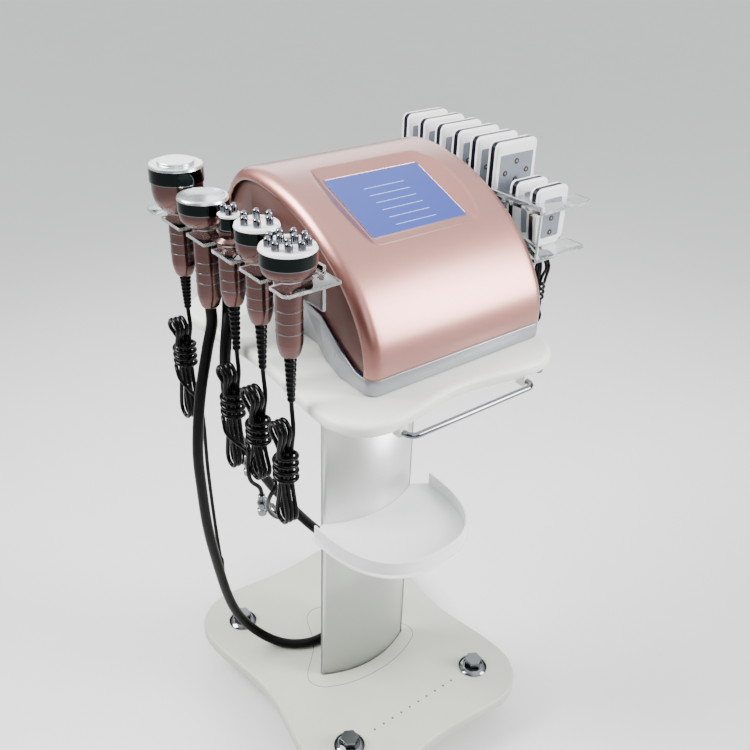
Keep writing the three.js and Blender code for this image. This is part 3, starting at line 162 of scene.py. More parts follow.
def hold(piece, body, replaces):
    """Lets a piece ride on a body and stand for its solids."""
    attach(piece, body)
    if replaces:
        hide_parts(*replaces)
    return piece


def settle(name, bm, finishes, body, replaces=(), edge=0.0, smooth=35, steps=2):
    """Makes a piece of a mesh drawn in mm from the column's middle, and lets it ride on a body."""
    bmesh.ops.transform(bm, matrix=TO_FRAME, verts=bm.verts)
    bmesh.ops.recalc_face_normals(bm, faces=bm.faces)
    mesh = bpy.data.meshes.new(name)
    bm.to_mesh(mesh)
    bm.free()
    mesh.polygons.foreach_set("use_smooth", [True] * len(mesh.polygons))
    piece = bpy.data.objects.new(name, mesh)
    bpy.context.scene.collection.objects.link(piece)
    for coat in finishes:
        mesh.materials.append(coat)
    if edge:
        rounding = piece.modifiers.new("edges", "BEVEL")
        rounding.width = edge / 1000
        rounding.segments = steps
        rounding.limit_method = "ANGLE"
        rounding.angle_limit = math.radians(smooth)
        rounding.harden_normals = True
    else:
        mesh.set_sharp_from_angle(angle=math.radians(smooth))
    return hold(piece, body, replaces)


def turned(bm, profile, at=(0, 0, 0), steps=48, coat=0):
    """Turns a profile of (radius, height) round an upright axis through at."""
    known = set(bm.verts)
    line = [bm.verts.new((at[0] + radius, at[1], at[2] + height)) for radius, height in profile]
    edges = [bm.edges.new(pair) for pair in zip(line, line[1:])]
    bmesh.ops.spin(bm, geom=line + edges, cent=at, axis=(0, 0, 1), angle=math.tau, steps=steps,
                   use_merge=True)
    bmesh.ops.remove_doubles(bm, verts=[v for v in bm.verts if v not in known], dist=0.001)
    made = [v for v in bm.verts if v not in known]
    for face in {face for v in made for face in v.link_faces}:
        face.material_index = coat
    return made


def move(bm, made, by):
    """Moves the points among what an operator has made."""
    bmesh.ops.translate(bm, vec=by, verts=[v for v in made if isinstance(v, bmesh.types.BMVert)])


# Chromed steel: a mirror finish over polished steel, with a faint haze from handling. Its colour is
# set well below that of real chrome, a painted shade for the dark room that it mirrors.
chrome = surface("chromed_steel", {"Base Color": linear("74767B"), "Metallic": 1.0},
                 {"Roughness": (12, 3, 0.04, 0.13)})
# Black nylon, moulded: satin, with the fine grain of a spark-eroded mould.
nylon = surface("moulded_black_nylon", {"Base Color": linear("1A1A1C"), "Roughness": 0.45, "IOR": 1.53},
                {"Normal": (0.8, 2, 0.3, 0.0002)})
# Grey rubber: matt, with dust worked into the tread.
rubber = surface("grey_caster_rubber", {"IOR": 1.52}, {
    "Roughness": (9, 5, 0.55, 0.85), "Base Color": (9, 5, "4A4C50", "6A6C70")})

CASTER_X, CASTER_Y = 146, 180
WHEEL_RADIUS, WHEEL_TRAIL = 23, 14
CUP_FLOOR = 88.4
NUT_RADIUS, NUT_HEIGHT = 16, 17.8
HOOD_START, HOOD_SWEEP = math.radians(18), math.radians(144)
WEB_THICKNESS = 8
for corner, (side_x, side_y) in {
        "front_left": (-CASTER_X, -CASTER_Y), "front_right": (CASTER_X, -CASTER_Y),
        "back_left": (-CASTER_X, CASTER_Y), "back_right": (CASTER_X, CASTER_Y)}.items():
    bm = bmesh.new()
    turned(bm, [(0, 50), (5, 50), (5, 85.3), (25, 85.3), (26.7, 86.2), (26.7, 87), (25.6, 88),
                (19.6, 91.8), (18.4, 92), (17.8, 91.2), (17.6, CUP_FLOOR), (0, CUP_FLOOR)],
           (side_x, side_y, 0), 56)
    nut_middle = Matrix.Translation((side_x, side_y, CUP_FLOOR + NUT_HEIGHT / 2))
    bmesh.ops.create_cone(bm, cap_ends=True, segments=6, radius1=NUT_RADIUS, radius2=NUT_RADIUS,
                          depth=NUT_HEIGHT, matrix=nut_middle)
    settle("bolt_" + corner, bm, [chrome], ROOT, ["caster_bolt_" + corner], edge=1.6, steps=3)

    bm = bmesh.new()
    turned(bm, [(5.7, 59.7), (5.7, 47.7), (10, 47.7), (11, 48.7), (11, 58.7), (10, 59.7), (5.7, 59.7)],
           (side_x, side_y, 0), 32)
    axle = (side_x + WHEEL_TRAIL, side_y, WHEEL_RADIUS)
    rim = [bm.verts.new((axle[0] + r * math.cos(HOOD_START), axle[1] + w, axle[2] + r * math.sin(HOOD_START)))
           for r, w in ((24.4, -15.4), (26.6, -14.2), (26.6, 14.2), (24.4, 15.4))]
    loop = [bm.edges.new((rim[i], rim[(i + 1) % 4])) for i in range(4)]
    bmesh.ops.spin(bm, geom=rim + loop, cent=axle, axis=(0, -1, 0), angle=HOOD_SWEEP, steps=20)
    bmesh.ops.holes_fill(bm, edges=[edge for edge in bm.edges if edge.is_boundary])
    web = [bm.verts.new((side_x + x, side_y - WEB_THICKNESS / 2, z)) for x, z in (
        (-10.5, 59), (-10.5, 48), (5, 27), (9, 19), (16, 16), (21, 22), (22, 50), (10.5, 59))]
    cheek = bmesh.ops.extrude_face_region(bm, geom=[bm.faces.new(web)])["geom"]
    move(bm, cheek, (0, WEB_THICKNESS, 0))
    settle("hood_" + corner, bm, [nylon], "fork_" + corner, ["caster_fork_" + corner],
           edge=0.6)

    half = [(3.5, 0), (3.5, 4.7), (13, 4.7), (14, 5.4), (21.4, 5.4), (22.6, 6.2), (23, 7.6), (23, 12.2),
            (22.5, 13.8), (21, 14.7), (15, 14.7), (14, 13.6), (7, 13.2), (6, 14), (0, 14.4)]
    bm = bmesh.new()
    turned(bm, [(r, -h) for r, h in reversed(half)] + half[1:], steps=56)
    bmesh.ops.rotate(bm, verts=bm.verts, cent=(0, 0, 0), matrix=Matrix.Rotation(math.pi / 2, 3, "X"))
    move(bm, bm.verts, axle)
    settle("twin_wheel_" + corner, bm, [rubber], "wheel_" + corner, ["caster_wheel_" + corner],
           smooth=40)


# Base: one moulding of painted rigid foam, with four lobes and rounded edges. A row of ten small
# blind holes runs between the front bolts, and a fine joint line winds round the column's foot.
def rounded(bm, parts, offset, segments, affect="EDGES"):
    """Rounds off edges or corners."""
    bmesh.ops.bevel(bm, geom=parts, offset=offset, segments=segments, profile=0.5, affect=affect,
                    material=-1)


def lobed(bm, half_width, front, back, corner, side_dip, front_dip, low, high, edge):
    """A plate with rounded corners whose sides dip in between them, its rims rounded."""
    bmesh.ops.create_grid(bm, x_segments=1, y_segments=1, size=1)
    for v in bm.verts:
        v.co = (v.co.x * half_width, back if v.co.y > 0 else -front, low)
    rounded(bm, bm.verts, corner, 14, "VERTICES")
    middle = (back - front) / 2
    reach_x = half_width - corner
    reach_y = (back + front) / 2 - corner
    straight = [e for e in bm.edges if e.calc_length() > corner]
    bmesh.ops.bisect_edges(bm, edges=straight, cuts=23)
    for v in bm.verts:
        away = v.co.y - middle
        if abs(v.co.x) < reach_x - 0.01:
            wave = (1 + math.cos(math.pi * v.co.x / reach_x)) / 2
            v.co.y -= math.copysign(front_dip * wave, away)
        elif abs(away) < reach_y - 0.01:
            wave = (1 + math.cos(math.pi * away / reach_y)) / 2
            v.co.x -= math.copysign(side_dip * wave, v.co.x)
    raised = bmesh.ops.extrude_face_region(bm, geom=bm.faces[:])["geom"]
    move(bm, raised, (0, 0, high - low))
    bm.normal_update()
    rounded(bm, [e for e in bm.edges if abs(e.verts[0].co.z - e.verts[1].co.z) < 0.01], edge, 6)


# Painted rigid foam: a sprayed warm grey-white coat, satin, with a fine orange peel. Its colour is
# partly the coat's own and partly painted shade, set darker for the dimmer light low under the machine.
base_coat = surface("sprayed_foam_moulding", {"IOR": 1.5}, {
    "Normal": (2.5, 2, 0.12, 0.0003), "Roughness": (90, 3, 0.36, 0.5),
    "Base Color": (90, 3, "A4A69A", "B1B2A8")})
# Shadowed joint: the dark of a hairline gap between two mouldings, and of a small blind hole.
joint = surface("shadowed_joint", {"Roughness": 0.9}, {"Base Color": (6, 2, "3C3D39", "55564F")})

BASE_TOP = 85
bm = bmesh.new()
lobed(bm, half_width=221, front=266, back=266, corner=85, side_dip=22, front_dip=9, low=60,
      high=BASE_TOP, edge=6)
settle("base_moulding", bm, [base_coat], ROOT, ["base_plate"], smooth=50)

HOLES, FIRST_HOLE_X, HOLE_PITCH, HOLE_Y = 10, -91, 20.1, -181
bm = bmesh.new()
for i in range(HOLES):
    turned(bm, [(0, 85.15), (1.9, 85.15), (2.3, 84.9), (0, 84.9)],
           (FIRST_HOLE_X + i * HOLE_PITCH, HOLE_Y, 0), 16)
settle("base_blind_holes", bm, [joint], ROOT)


def flowing(points, step):
    """Points a step apart on one smooth line through the given ones."""
    points = [Vector(p) for p in points]
    around = [points[0] * 2 - points[1], *points, points[-1] * 2 - points[-2]]
    line = []
    for a, b, c, d in zip(around, around[1:], around[2:], around[3:]):
        ta = math.sqrt((b - a).length)
        tb = ta + math.sqrt((c - b).length)
        tc = tb + math.sqrt((d - c).length)
        count = max(1, math.ceil((c - b).length / step))
        for i in range(count):
            t = ta + (tb - ta) * i / count
            ab = a.lerp(b, t / ta)
            bc = b.lerp(c, (t - ta) / (tb - ta))
            cd = c.lerp(d, (t - tb) / (tc - tb))
            line.append(ab.lerp(bc, t / tb).lerp(bc.lerp(cd, (t - ta) / (tc - ta)), (t - ta) / (tb - ta)))
    return line + [points[-1]]


def eased(line, reach):
    """The same line with its sharpest bends drawn out, each point being the mean of its neighbours."""
    soft = []
    for i in range(len(line)):
        near = min(reach, i, len(line) - 1 - i)
        soft.append(sum(line[i - near:i + near + 1], Vector()) / (2 * near + 1))
    return soft


def tube(name, line, radius, coat, body, replaces=(), ring=4):
    """A round rod, cord or hose along a line of points in mm."""
    curve = bpy.data.curves.new(name, "CURVE")
    curve.dimensions = "3D"
    curve.bevel_depth = radius / 1000
    curve.bevel_resolution = ring
    curve.use_fill_caps = True
    spline = curve.splines.new("POLY")
    spline.points.add(len(line) - 1)
    for point, spot in zip(spline.points, line):
        point.co = (*((Vector(spot) + ZERO) / 1000), 1)
    curve.materials.append(coat)
    piece = bpy.data.objects.new(name, curve)
    bpy.context.scene.collection.objects.link(piece)
    return hold(piece, body, replaces)


rear_left = [(-18.5, 121.4), (-37.5, 111.1), (-49.3, 86.7), (-58.2, 61.4), (-74.8, 34)]
seam = [(0, 118), *rear_left, (-119.4, -12.4), (-123.6, -26.8), (-120.2, -39.5), (-109.3, -52.6),
        (-88.9, -63.6), (-66.5, -72), (-37.7, -77.9), (-5.8, -80.4), (22.8, -79.2), (51.4, -74.2),
        (79.6, -64.9), (102.3, -53.1), (110.1, -43.8), (111.7, -28.5), (105, -14.1),
        *((-x, y) for x, y in reversed(rear_left)), (0, 118)]
FOOT_HALF, FOOT_BULGE = 95.5, 26.5
foot = [(x, -27.5 - FOOT_BULGE * (1 - (x / FOOT_HALF) ** 2)) for x in range(-95, 96, 5)]
foot += [(x, -20.5 + FOOT_BULGE * (1 - (x / FOOT_HALF) ** 2)) for x in range(95, -96, -5)]
for name, loop, wide in (("base_joint_line", seam, 0.5), ("column_foot_joint", foot + foot[:1], 0.9)):
    tube(name, flowing([(x, y, 84.9) for x, y in loop], 3), wide, joint, ROOT, ring=2)

# Column: an extruded aluminium section like a lens, with a bulging front and back and flat
# narrow sides, brushed along its length. It stands on the base and carries the shelf.
brushed, tree, shader, place = finish(
    "brushed_anodised_aluminium", {"Metallic": 0.6, "Base Color": linear("CFD3CE")})
along = add(tree, "ShaderNodeMapping", {"Vector": place, "Scale": (1000 / 0.9, 1000 / 0.9, 1000 / 160)})
strokes = add(tree, "ShaderNodeTexNoise", {"Vector": along.outputs["Vector"], "Scale": 1.0, "Detail": 3.0})
add(tree, "ShaderNodeMapRange", {"Value": strokes.outputs["Fac"], "To Min": 0.26, "To Max": 0.42},
    into=shader["Roughness"])
add(tree, "ShaderNodeBump", {"Height": strokes.outputs["Fac"], "Strength": 0.1, "Distance": 0.0001},
    into=shader["Normal"])


def bulge(bm, half_width, y, rise, z, steps):
    """A shallow arc between two ends at y, bulging by rise; its vertices from +x to -x."""
    radius = (half_width ** 2 + rise ** 2) / (2 * abs(rise))
    reach = math.asin(half_width / radius)
    known = set(bm.verts)
    start = bm.verts.new((half_width, y, z))
    bmesh.ops.spin(bm, geom=[start], cent=(0, y + rise - math.copysign(radius, rise), z),
                   axis=(0, 0, math.copysign(1, rise)), angle=2 * reach, steps=steps)
    return sorted((v for v in bm.verts if v not in known), key=lambda v: -v.co.x)


COLUMN_HALF, COLUMN_BULGE = 95, 26
COLUMN_REAR, COLUMN_FRONT = -21, -27
COLUMN_FOOT, COLUMN_HEIGHT = 85.3, 677.4
bm = bmesh.new()
rear = bulge(bm, COLUMN_HALF, COLUMN_REAR, COLUMN_BULGE, COLUMN_FOOT, 28)
front = bulge(bm, COLUMN_HALF, COLUMN_FRONT, -COLUMN_BULGE, COLUMN_FOOT, 28)
for pair in ((rear[-1], front[-1]), (front[0], rear[0])):
    bm.edges.new(pair)
tall = bmesh.ops.extrude_edge_only(bm, edges=bm.edges[:])["geom"]
move(bm, tall, (0, 0, COLUMN_HEIGHT))
bm.normal_update()
rounded(bm, [e for e in bm.edges if abs(e.verts[0].co.z - e.verts[1].co.z) > 1
             and abs(abs(e.verts[0].co.x) - COLUMN_HALF) < 0.1], 2, 4)
column = settle("column_extrusion", bm, [brushed], ROOT, ["column"], smooth=60)
wall = column.modifiers.new("wall", "SOLIDIFY")
wall.thickness = 0.003
wall.offset = -1

# Shelf: a moulding like the base, in a lighter paint, with soft rounded rims. Two lugs under
# its front edge hold the towel bar, a bent rod of chromed steel, and a small knob sits beside it.
shelf_coat = surface("sprayed_ivory_moulding", {"IOR": 1.5}, {
    "Normal": (2.5, 2, 0.12, 0.0003), "Roughness": (80, 3, 0.34, 0.48),
    "Base Color": (80, 3, "DFDFD8", "E7E7E1")})

SHELF_LOW, SHELF_TOP = 763, 785
LUG_X, LUG_Y = 116, -236
bm = bmesh.new()
lobed(bm, half_width=203, front=246, back=243, corner=67, side_dip=12, front_dip=18, low=SHELF_LOW,
      high=SHELF_TOP, edge=9)
for side in (-1, 1):
    lug = bmesh.ops.create_cube(bm, size=1)["verts"]
    bmesh.ops.scale(bm, vec=(15, 16, 22), verts=lug)
    move(bm, lug, (side * LUG_X, LUG_Y, 761))
    rounded(bm, list({edge for v in lug for edge in v.link_edges}), 2.5, 3)
settle("shelf_moulding", bm, [shelf_coat], ROOT, ["shelf"], smooth=50)

BAR_Z, BEND_RADIUS = 758, 13
bends = [[(side * (103 + BEND_RADIUS * math.sin(a)), -246 - BEND_RADIUS * math.cos(a), BAR_Z)
          for a in (math.radians(90 * i / 8) for i in range(9))] for side in (-1, 1)]
bar = [(-LUG_X, -234.3, BAR_Z), *reversed(bends[0]), *bends[1], (LUG_X, -234.3, BAR_Z)]
tube("towel_rail", bar, 4.4, chrome, ROOT, ["towel_bar"], ring=6)
bm = bmesh.new()
turned(bm, [(0, -11), (2.6, -11), (4.8, -9.8), (6, -7.6), (6, -1.6), (5.2, -0.6), (3.2, -0.6), (3.2, 10.5),
            (0, 10.5)], (158, -229, SHELF_LOW), 32)
settle("small_knob", bm, [chrome], ROOT, ["shelf_knob"], smooth=50)

# Tray: a half-moon of white moulded ABS that clasps the front of the column. A thin upright rim
# is set in from the rounded lip, and an apron runs down the column below it.
white_abs = surface("moulded_white_abs", {"Base Color": linear("EBEBED"), "IOR": 1.54}, {
    "Roughness": (35, 3, 0.25, 0.4), "Normal": (1.5, 2, 0.06, 0.0002)})
TRAY_Z = 443
TRAY_HALF, TRAY_REACH, TRAY_BACK = 130, 171, -46
CLASP_GAP = 0.3
OVAL = 2.6


def half_moon(bm, inset, z):
    """The front half of a squared-off oval, as a chain of vertices from -x to +x."""
    chain = bmesh.ops.create_circle(bm, segments=96, radius=1)["verts"]
    bmesh.ops.delete(bm, geom=[v for v in chain if v.co.y > 0.001], context="VERTS")
    chain = sorted((v for v in chain if v.is_valid), key=lambda v: v.co.x)
    for v in chain:
        x, y = v.co.x, v.co.y
        v.co = (math.copysign(abs(x) ** (2 / OVAL) * (TRAY_HALF - inset), x),
                TRAY_BACK - abs(y) ** (2 / OVAL) * (TRAY_REACH - inset), z)
    return chain


def clasp(bm, z):
    """The edge of the tray that fits round the front of the column, a small gap off it."""
    return bulge(bm, COLUMN_HALF + CLASP_GAP, COLUMN_FRONT - CLASP_GAP, -COLUMN_BULGE, z, 24)


bm = bmesh.new()
moon = half_moon(bm, 0, TRAY_Z)
seat = clasp(bm, TRAY_Z)
bm.edges.new((moon[-1], seat[0]))
bm.edges.new((moon[0], seat[-1]))
bmesh.ops.contextual_create(bm, geom=bm.edges[:])
tray_floor = bmesh.ops.extrude_face_region(bm, geom=bm.faces[:])["geom"]
move(bm, tray_floor, (0, 0, 4))
bm.normal_update()
rounded(bm, [e for e in bm.edges if abs(e.verts[0].co.z - e.verts[1].co.z) < 0.01
             and e.verts[0].co.y < -55], 1.9, 4)
for line, low, high, outward in ((half_moon(bm, 8, 446), 446, 471, 1), (clasp(bm, 423), 423, 445, -1)):
    fence = [e for e in bm.edges if e.verts[0] in line and e.verts[1] in line]
    upright = bmesh.ops.extrude_edge_only(bm, edges=fence)["geom"]
    move(bm, upright, (0, 0, high - low))
    skin = [f for f in upright if isinstance(f, bmesh.types.BMFace)]
    if skin[len(skin) // 2].normal.y * outward < 0:
        bmesh.ops.reverse_faces(bm, faces=skin)
    bmesh.ops.solidify(bm, geom=skin, thickness=3)
settle("half_moon_tray", bm, [white_abs], ROOT, ["tray"], edge=0.7, smooth=50, steps=3)


# Machine case: the lower case is a tray of silver-painted ABS whose sides rise toward the rear.
# The rear panel carries sockets, the port, the inlet, the switch and the fan on its grille.
def copied(node):
    """The frame's own solid as one merged mesh, drawn back in mm."""
    bm = bmesh.new()
    bm.from_mesh(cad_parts[node].data)
    bmesh.ops.remove_doubles(bm, verts=bm.verts, dist=1e-6)
    bmesh.ops.transform(bm, matrix=TO_FRAME.inverted(), verts=bm.verts)
    bmesh.ops.dissolve_limit(bm, angle_limit=math.radians(0.5), verts=bm.verts, edges=bm.edges)
    return bm


# Silver paint on ABS: fine aluminium flake under a satin lacquer.
silver = surface("silver_painted_abs", {"Metallic": 0.85, "Coat Weight": 0.25, "Coat Roughness": 0.2}, {
    "Base Color": (0.7, 2, "94969C", "A6A8AE"), "Roughness": (0.7, 2, 0.34, 0.46)})
settle("silver_lower_case", copied("lower_case"), [silver], ROOT, ["lower_case"],
       edge=0.8, smooth=30)

PANEL_INNER, PANEL_OUTER = 182.5, 186.3
bm = copied("rear_panel")
for face in bm.faces:
    if not PANEL_INNER <= face.calc_center_median().y <= PANEL_OUTER:
        face.material_index = 1
settle("rear_panel_plate", bm, [silver, nylon], ROOT, ["rear_panel"], edge=0.4, smooth=35)
settle("rocker", copied("power_switch"), [nylon], "power_switch", ["power_switch"],
       edge=0.5, smooth=25)
settle("fan_housing", copied("fan_frame"), [nylon], ROOT, ["fan_frame"], edge=0.4)
settle("fan_blades", copied("fan_rotor"), [nylon], "fan_rotor", ["fan_rotor"], edge=0.4)

# Inside the case, behind the vents: a glass-epoxy circuit board, a folded steel supply and a
# small diaphragm pump in grey plastic.
epoxy, tree, shader, place = finish("glass_epoxy_board", {"Roughness": 0.5})
weave = add(tree, "ShaderNodeTexVoronoi", {"Vector": place, "Scale": 1000 / 6})
mask = add(tree, "ShaderNodeMix", {0: weave.outputs["Distance"], 6: linear("1F5638"), 7: linear("2F7049")},
           data_type="RGBA")
tree.links.new(mask.outputs[2], shader["Base Color"])
zinc, tree, shader, place = finish("zinc_plated_steel", {"Metallic": 1.0, "Base Color": linear("B4B7BA")})
spangle = add(tree, "ShaderNodeTexVoronoi", {"Vector": place, "Scale": 1000 / 8})
add(tree, "ShaderNodeMapRange", {"Value": spangle.outputs["Distance"], "To Min": 0.3, "To Max": 0.5},
    into=shader["Roughness"])
pump_grey = surface("moulded_grey_nylon", {"Base Color": linear("6C6F75")},
                    {"Roughness": (3, 3, 0.5, 0.7)})
for node, coat in (("main_board", epoxy), ("power_supply", zinc), ("vacuum_pump", pump_grey)):
    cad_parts[node].data.materials.clear()
    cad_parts[node].data.materials.append(coat)

# Upper shell: one arch of vacuum-formed ABS in pearl rose paint, with rounded rims and a
# sloping pocket sunk into it for the screen. It sits on the front of the lower case.
pearl = surface("pearl_rose_paint", {"Metallic": 0.85, "Coat Weight": 0.9, "Coat Roughness": 0.24}, {
    "Base Color": (0.8, 2, "9D665D", "AE796F"), "Roughness": (0.8, 2, 0.3, 0.42),
    "Normal": (0.8, 2, 0.04, 0.0002)})

CASE_X = 35
CASE_HALF_DEPTH, CASE_RISE = 190, 240
SHELL_HALF, SHELL_RIM = 147, 18
SCREEN_WIDTH, SCREEN_HEIGHT, SCREEN_DEPTH = 173, 129, 9
TILT = math.radians(21.6)
slope = Vector((0, math.cos(TILT), math.sin(TILT)))
rise = Vector((0, -math.sin(TILT), math.cos(TILT)))
screen_spot = Vector((0, -27, 988))
arch_shares = [(-0.997, 0.2), (-0.965, 0.32), (-0.89, 0.44), (-0.775, 0.565), (-0.615, 0.69),
               (-0.445, 0.785), (-0.26, 0.865), (-0.06, 0.93), (0.16, 0.975), (0.39, 1), (0.58, 0.996),
               (0.74, 0.957), (0.865, 0.885), (0.945, 0.795), (0.979, 0.711)]
arch = flowing([(0, -CASE_HALF_DEPTH, 810.6), *(
    (0, y * CASE_HALF_DEPTH, SHELF_TOP + z * CASE_RISE) for y, z in arch_shares)], 0.3)
POCKET_HALF, POCKET_LOW, POCKET_HIGH, POCKET_CORNER = 82, -69, 60, 10
FLARE, LOW_LEAN, HIGH_LEAN = 1.5, 0.5, 5.5


def pocket_wall(u, v):
    """Height of the pocket's flared wall over its floor, at u across and v up the slope."""
    low, high = 0, 60
    for i in range(16):
        height = (low + high) / 2
        middle = POCKET_LOW + LOW_LEAN * height if v < 0 else POCKET_HIGH + HIGH_LEAN * height
        out_u, out_v = abs(u) - POCKET_HALF, (v - middle) * math.copysign(1, v)
        beyond = math.hypot(max(out_u, 0), max(out_v, 0)) + min(max(out_u, out_v), 0)
        low, high = (height, high) if beyond > POCKET_CORNER + FLARE * height else (low, height)
    return low


def soft_least(a, b, blend):
    """The lesser of two heights, with a rounded change from one to the other."""
    near = max(blend - abs(a - b), 0) / blend
    return min(a, b) - near * near * blend / 4


def rows_of(line):
    """Stations along the arch: fine where the pocket's walls cross it, and coarse elsewhere."""
    wanted = [-96, -92, -89.5, -87.5, -86, -85, -84.2, -83.4, -82.6, -81.8, -81, -80.2, -79.4, -78.6, -77.6,
              -76, -72, -68, -64.9, *(-56 + 8 * i for i in range(15)), 64.9, 67, 68.6, 69.4, 70.2, 71, 72, 74,
              77, 80, 82, 83.5, 84.7, 85.8, 86.8, 87.8, 88.8, 89.8, 90.9, 92.2, 94, 97, 101, 106]
    up_slope = [(p - screen_spot).dot(slope) for p in line]
    ends = [min(range(len(line)), key=lambda k: abs(up_slope[k] - v)) for v in wanted]
    gap = 18
    low = list(range(0, ends[0] - gap // 2, gap))
    high = list(range(ends[-1] + gap, len(line) - 1, gap))
    return low + ends + high + [len(line) - 1]


half = [*range(0, 81, 10), 86.9, 89.5, 91, *(91.6 + 0.8 * i for i in range(35)), 121, 125, 131, 139,
        SHELL_HALF]
rims = [(SHELL_HALF + SHELL_RIM * math.sin(a), SHELL_RIM - SHELL_RIM * math.cos(a))
        for a in (math.radians(9 * i) for i in range(1, 11))]
columns = [(-x, inset) for x, inset in reversed(rims)] + [(-x, 0) for x in reversed(half[1:])]
columns += [(x, 0) for x in half] + rims
stations = rows_of(arch)
bm = bmesh.new()
bmesh.ops.create_grid(bm, x_segments=len(columns) - 1, y_segments=len(stations) - 1, size=1)
for v in bm.verts:
    x, inset = columns[round((v.co.x + 1) / 2 * (len(columns) - 1))]
    k = stations[round((v.co.y + 1) / 2 * (len(stations) - 1))]
    tangent = (arch[min(k + 4, len(arch) - 1)] - arch[max(k - 4, 0)]).normalized()
    if k in (0, len(arch) - 1):
        tangent = Vector((0, 0, 1 if k == 0 else -1))
    spot = arch[k] + Vector((x, tangent.z * inset, -tangent.y * inset))
    away = spot - screen_spot
    u, up_slope, height = x, away.dot(slope), away.dot(rise)
    if abs(u) < 125 and -96 < up_slope < 106:
        blend = min(3, max(1.2, 3 - 0.08 * (up_slope - 50)))
        spot += rise * (soft_least(height, pocket_wall(u, up_slope), blend) - height)
    v.co = spot + Vector((CASE_X, 0, 0))
window = [f for f in bm.faces if all(
    abs(v.co.x - CASE_X) < SCREEN_WIDTH / 2 + 0.5
    and abs((v.co - screen_spot).dot(slope)) < SCREEN_HEIGHT / 2 + 0.7
    and abs((v.co - screen_spot).dot(rise)) < 2 for v in f.verts)]
bmesh.ops.delete(bm, geom=window, context="FACES")
shell = settle("pearl_arch", bm, [pearl], ROOT, ["upper_shell"], smooth=60)
if shell.data.polygons[0].normal.y > 0:
    shell.data.flip_normals()
wall = shell.modifiers.new("wall", "SOLIDIFY")
wall.thickness = 0.0035
wall.offset = -1

# Side covers: flat ends of ABS in a deeper rose, set back behind the shell's rim. Each has two
# round bosses that carry a clear holder.
rose_side = surface("satin_rose_paint", {"Metallic": 0.5, "Coat Weight": 0.3, "Coat Roughness": 0.2}, {
    "Base Color": (0.8, 2, "54332D", "623F38"), "Roughness": (0.8, 2, 0.38, 0.5)})
for side, inward in (("left", 1.6), ("right", -1.6)):
    bm = copied("side_cover_" + side)
    lip = bmesh.ops.duplicate(bm, geom=bm.verts[:] + bm.edges[:] + bm.faces[:])["geom"]
    move(bm, lip, (inward, 0, -3.5))
    settle("end_cover_" + side, bm, [rose_side], ROOT, ["side_cover_" + side],
           edge=0.5, smooth=40)

# Screen: a touch panel of glass, flush with the pocket's floor. The lit display is blue and
# carries plain light lines, brighter toward its upper left.
display, tree, shader, place = finish("lit_display_glass", {
    "Roughness": 0.12, "IOR": 1.52, "Specular IOR Level": 0.25, "Base Color": linear("10131E"),
    "Emission Strength": 1.35})
centred = add(tree, "ShaderNodeMapping", {
    "Vector": place, "Location": (-(CASE_X + ZERO.x) / 1000 * 5, 0, -0.988 * 5), "Scale": (5, 0, 5)})
shift = add(tree, "ShaderNodeVectorMath", {0: centred.outputs["Vector"], 1: (-0.3, 0, 1)},
            operation="DOT_PRODUCT")
fade = add(tree, "ShaderNodeMapRange", {"Value": shift.outputs["Value"], "From Min": -0.45, "From Max": 0.45})
glow = add(tree, "ShaderNodeMix", {0: fade.outputs["Result"], 6: linear("4056C8"), 7: linear("6076DA")},
           data_type="RGBA")
tree.links.new(glow.outputs[2], shader["Emission Color"])
lines = surface("lit_display_lines", {
    "Roughness": 0.2, "Emission Strength": 1.1, "Emission Color": linear("8B9BE2")},
    {"Base Color": (2, 1, "8C98CC", "A3AEDC")})
on_slope = Matrix.Translation(screen_spot + Vector((CASE_X, 0, 0))) @ Matrix.Rotation(TILT, 4, "X")
bm = bmesh.new()
bmesh.ops.create_cube(bm, size=1, matrix=on_slope @ Matrix.Translation((0, 0, -SCREEN_DEPTH / 2))
                      @ Matrix.Diagonal((SCREEN_WIDTH, SCREEN_HEIGHT, SCREEN_DEPTH, 1)))
settle("touch_panel", bm, [display], ROOT, ["touch_screen"], edge=0.6, smooth=30)
bm = bmesh.new()
for v in (31, 15, -1, -17, -33.5, -50):
    bmesh.ops.create_cube(bm, size=1, matrix=on_slope @ Matrix.Translation((0, v, 0.05))
                          @ Matrix.Diagonal((74, 0.8, 0.2, 1)))
settle("display_lines", bm, [lines], ROOT)

# Handpiece holder and pad comb: plates of clear cast acrylic, laser cut with keyholes and
# notches, flame polished and cemented to upright flanges that screw to the bosses.
acrylic = surface("clear_cast_acrylic", {
    "Base Color": linear("F1F5F5"), "Transmission Weight": 1.0, "IOR": 1.49},
    {"Roughness": (25, 3, 0.01, 0.07)})
# Flame-polished edge: it gathers the light of the whole plate, so it shows bright and milky.
bright_edge = surface("flame_polished_acrylic_edge", {
    "Base Color": linear("E6ECEC"), "Transmission Weight": 0.8, "IOR": 1.49},
    {"Roughness": (4, 2, 0.1, 0.35)})
for name, node, flange in (("clear_holder", "handpiece_holder", (-180, -175)),
                           ("clear_comb", "pad_comb", (224, 229))):
    bm = copied(node)
    for face in bm.faces:
        inside = flange[0] - 0.1 < face.calc_center_median().x < flange[1] + 0.1
        broad = abs(face.normal.x) if inside else abs(face.normal.z)
        face.material_index = 0 if broad > 0.5 else 1
    rounded(bm, [e for e in bm.edges if abs((e.verts[0].co - e.verts[1].co).z) > 4
                 and max(abs(v.co.x) for v in e.verts) > 340 and e.is_manifold], 5, 5)
    settle(name, bm, [acrylic, bright_edge], ROOT, [node], edge=0.4, smooth=40)
bm = bmesh.new()
for x, face, rows in ((-180, -1, ((-20, 945), (110, 945))), (229, 1, ((-30, 922), (120, 922)))):
    for y, z in rows:
        screw = turned(bm, [(0, 0), (4.4, 0), (4.4, 0.6), (3.2, 1.8), (1.4, 2.2), (1.4, 1.2), (0, 1.2)],
                       steps=24)
        bmesh.ops.rotate(bm, verts=screw, cent=(0, 0, 0), matrix=Matrix.Rotation(face * math.pi / 2, 3, "Y"))
        move(bm, screw, (x, y, z))
settle("holder_screws", bm, [chrome], ROOT)
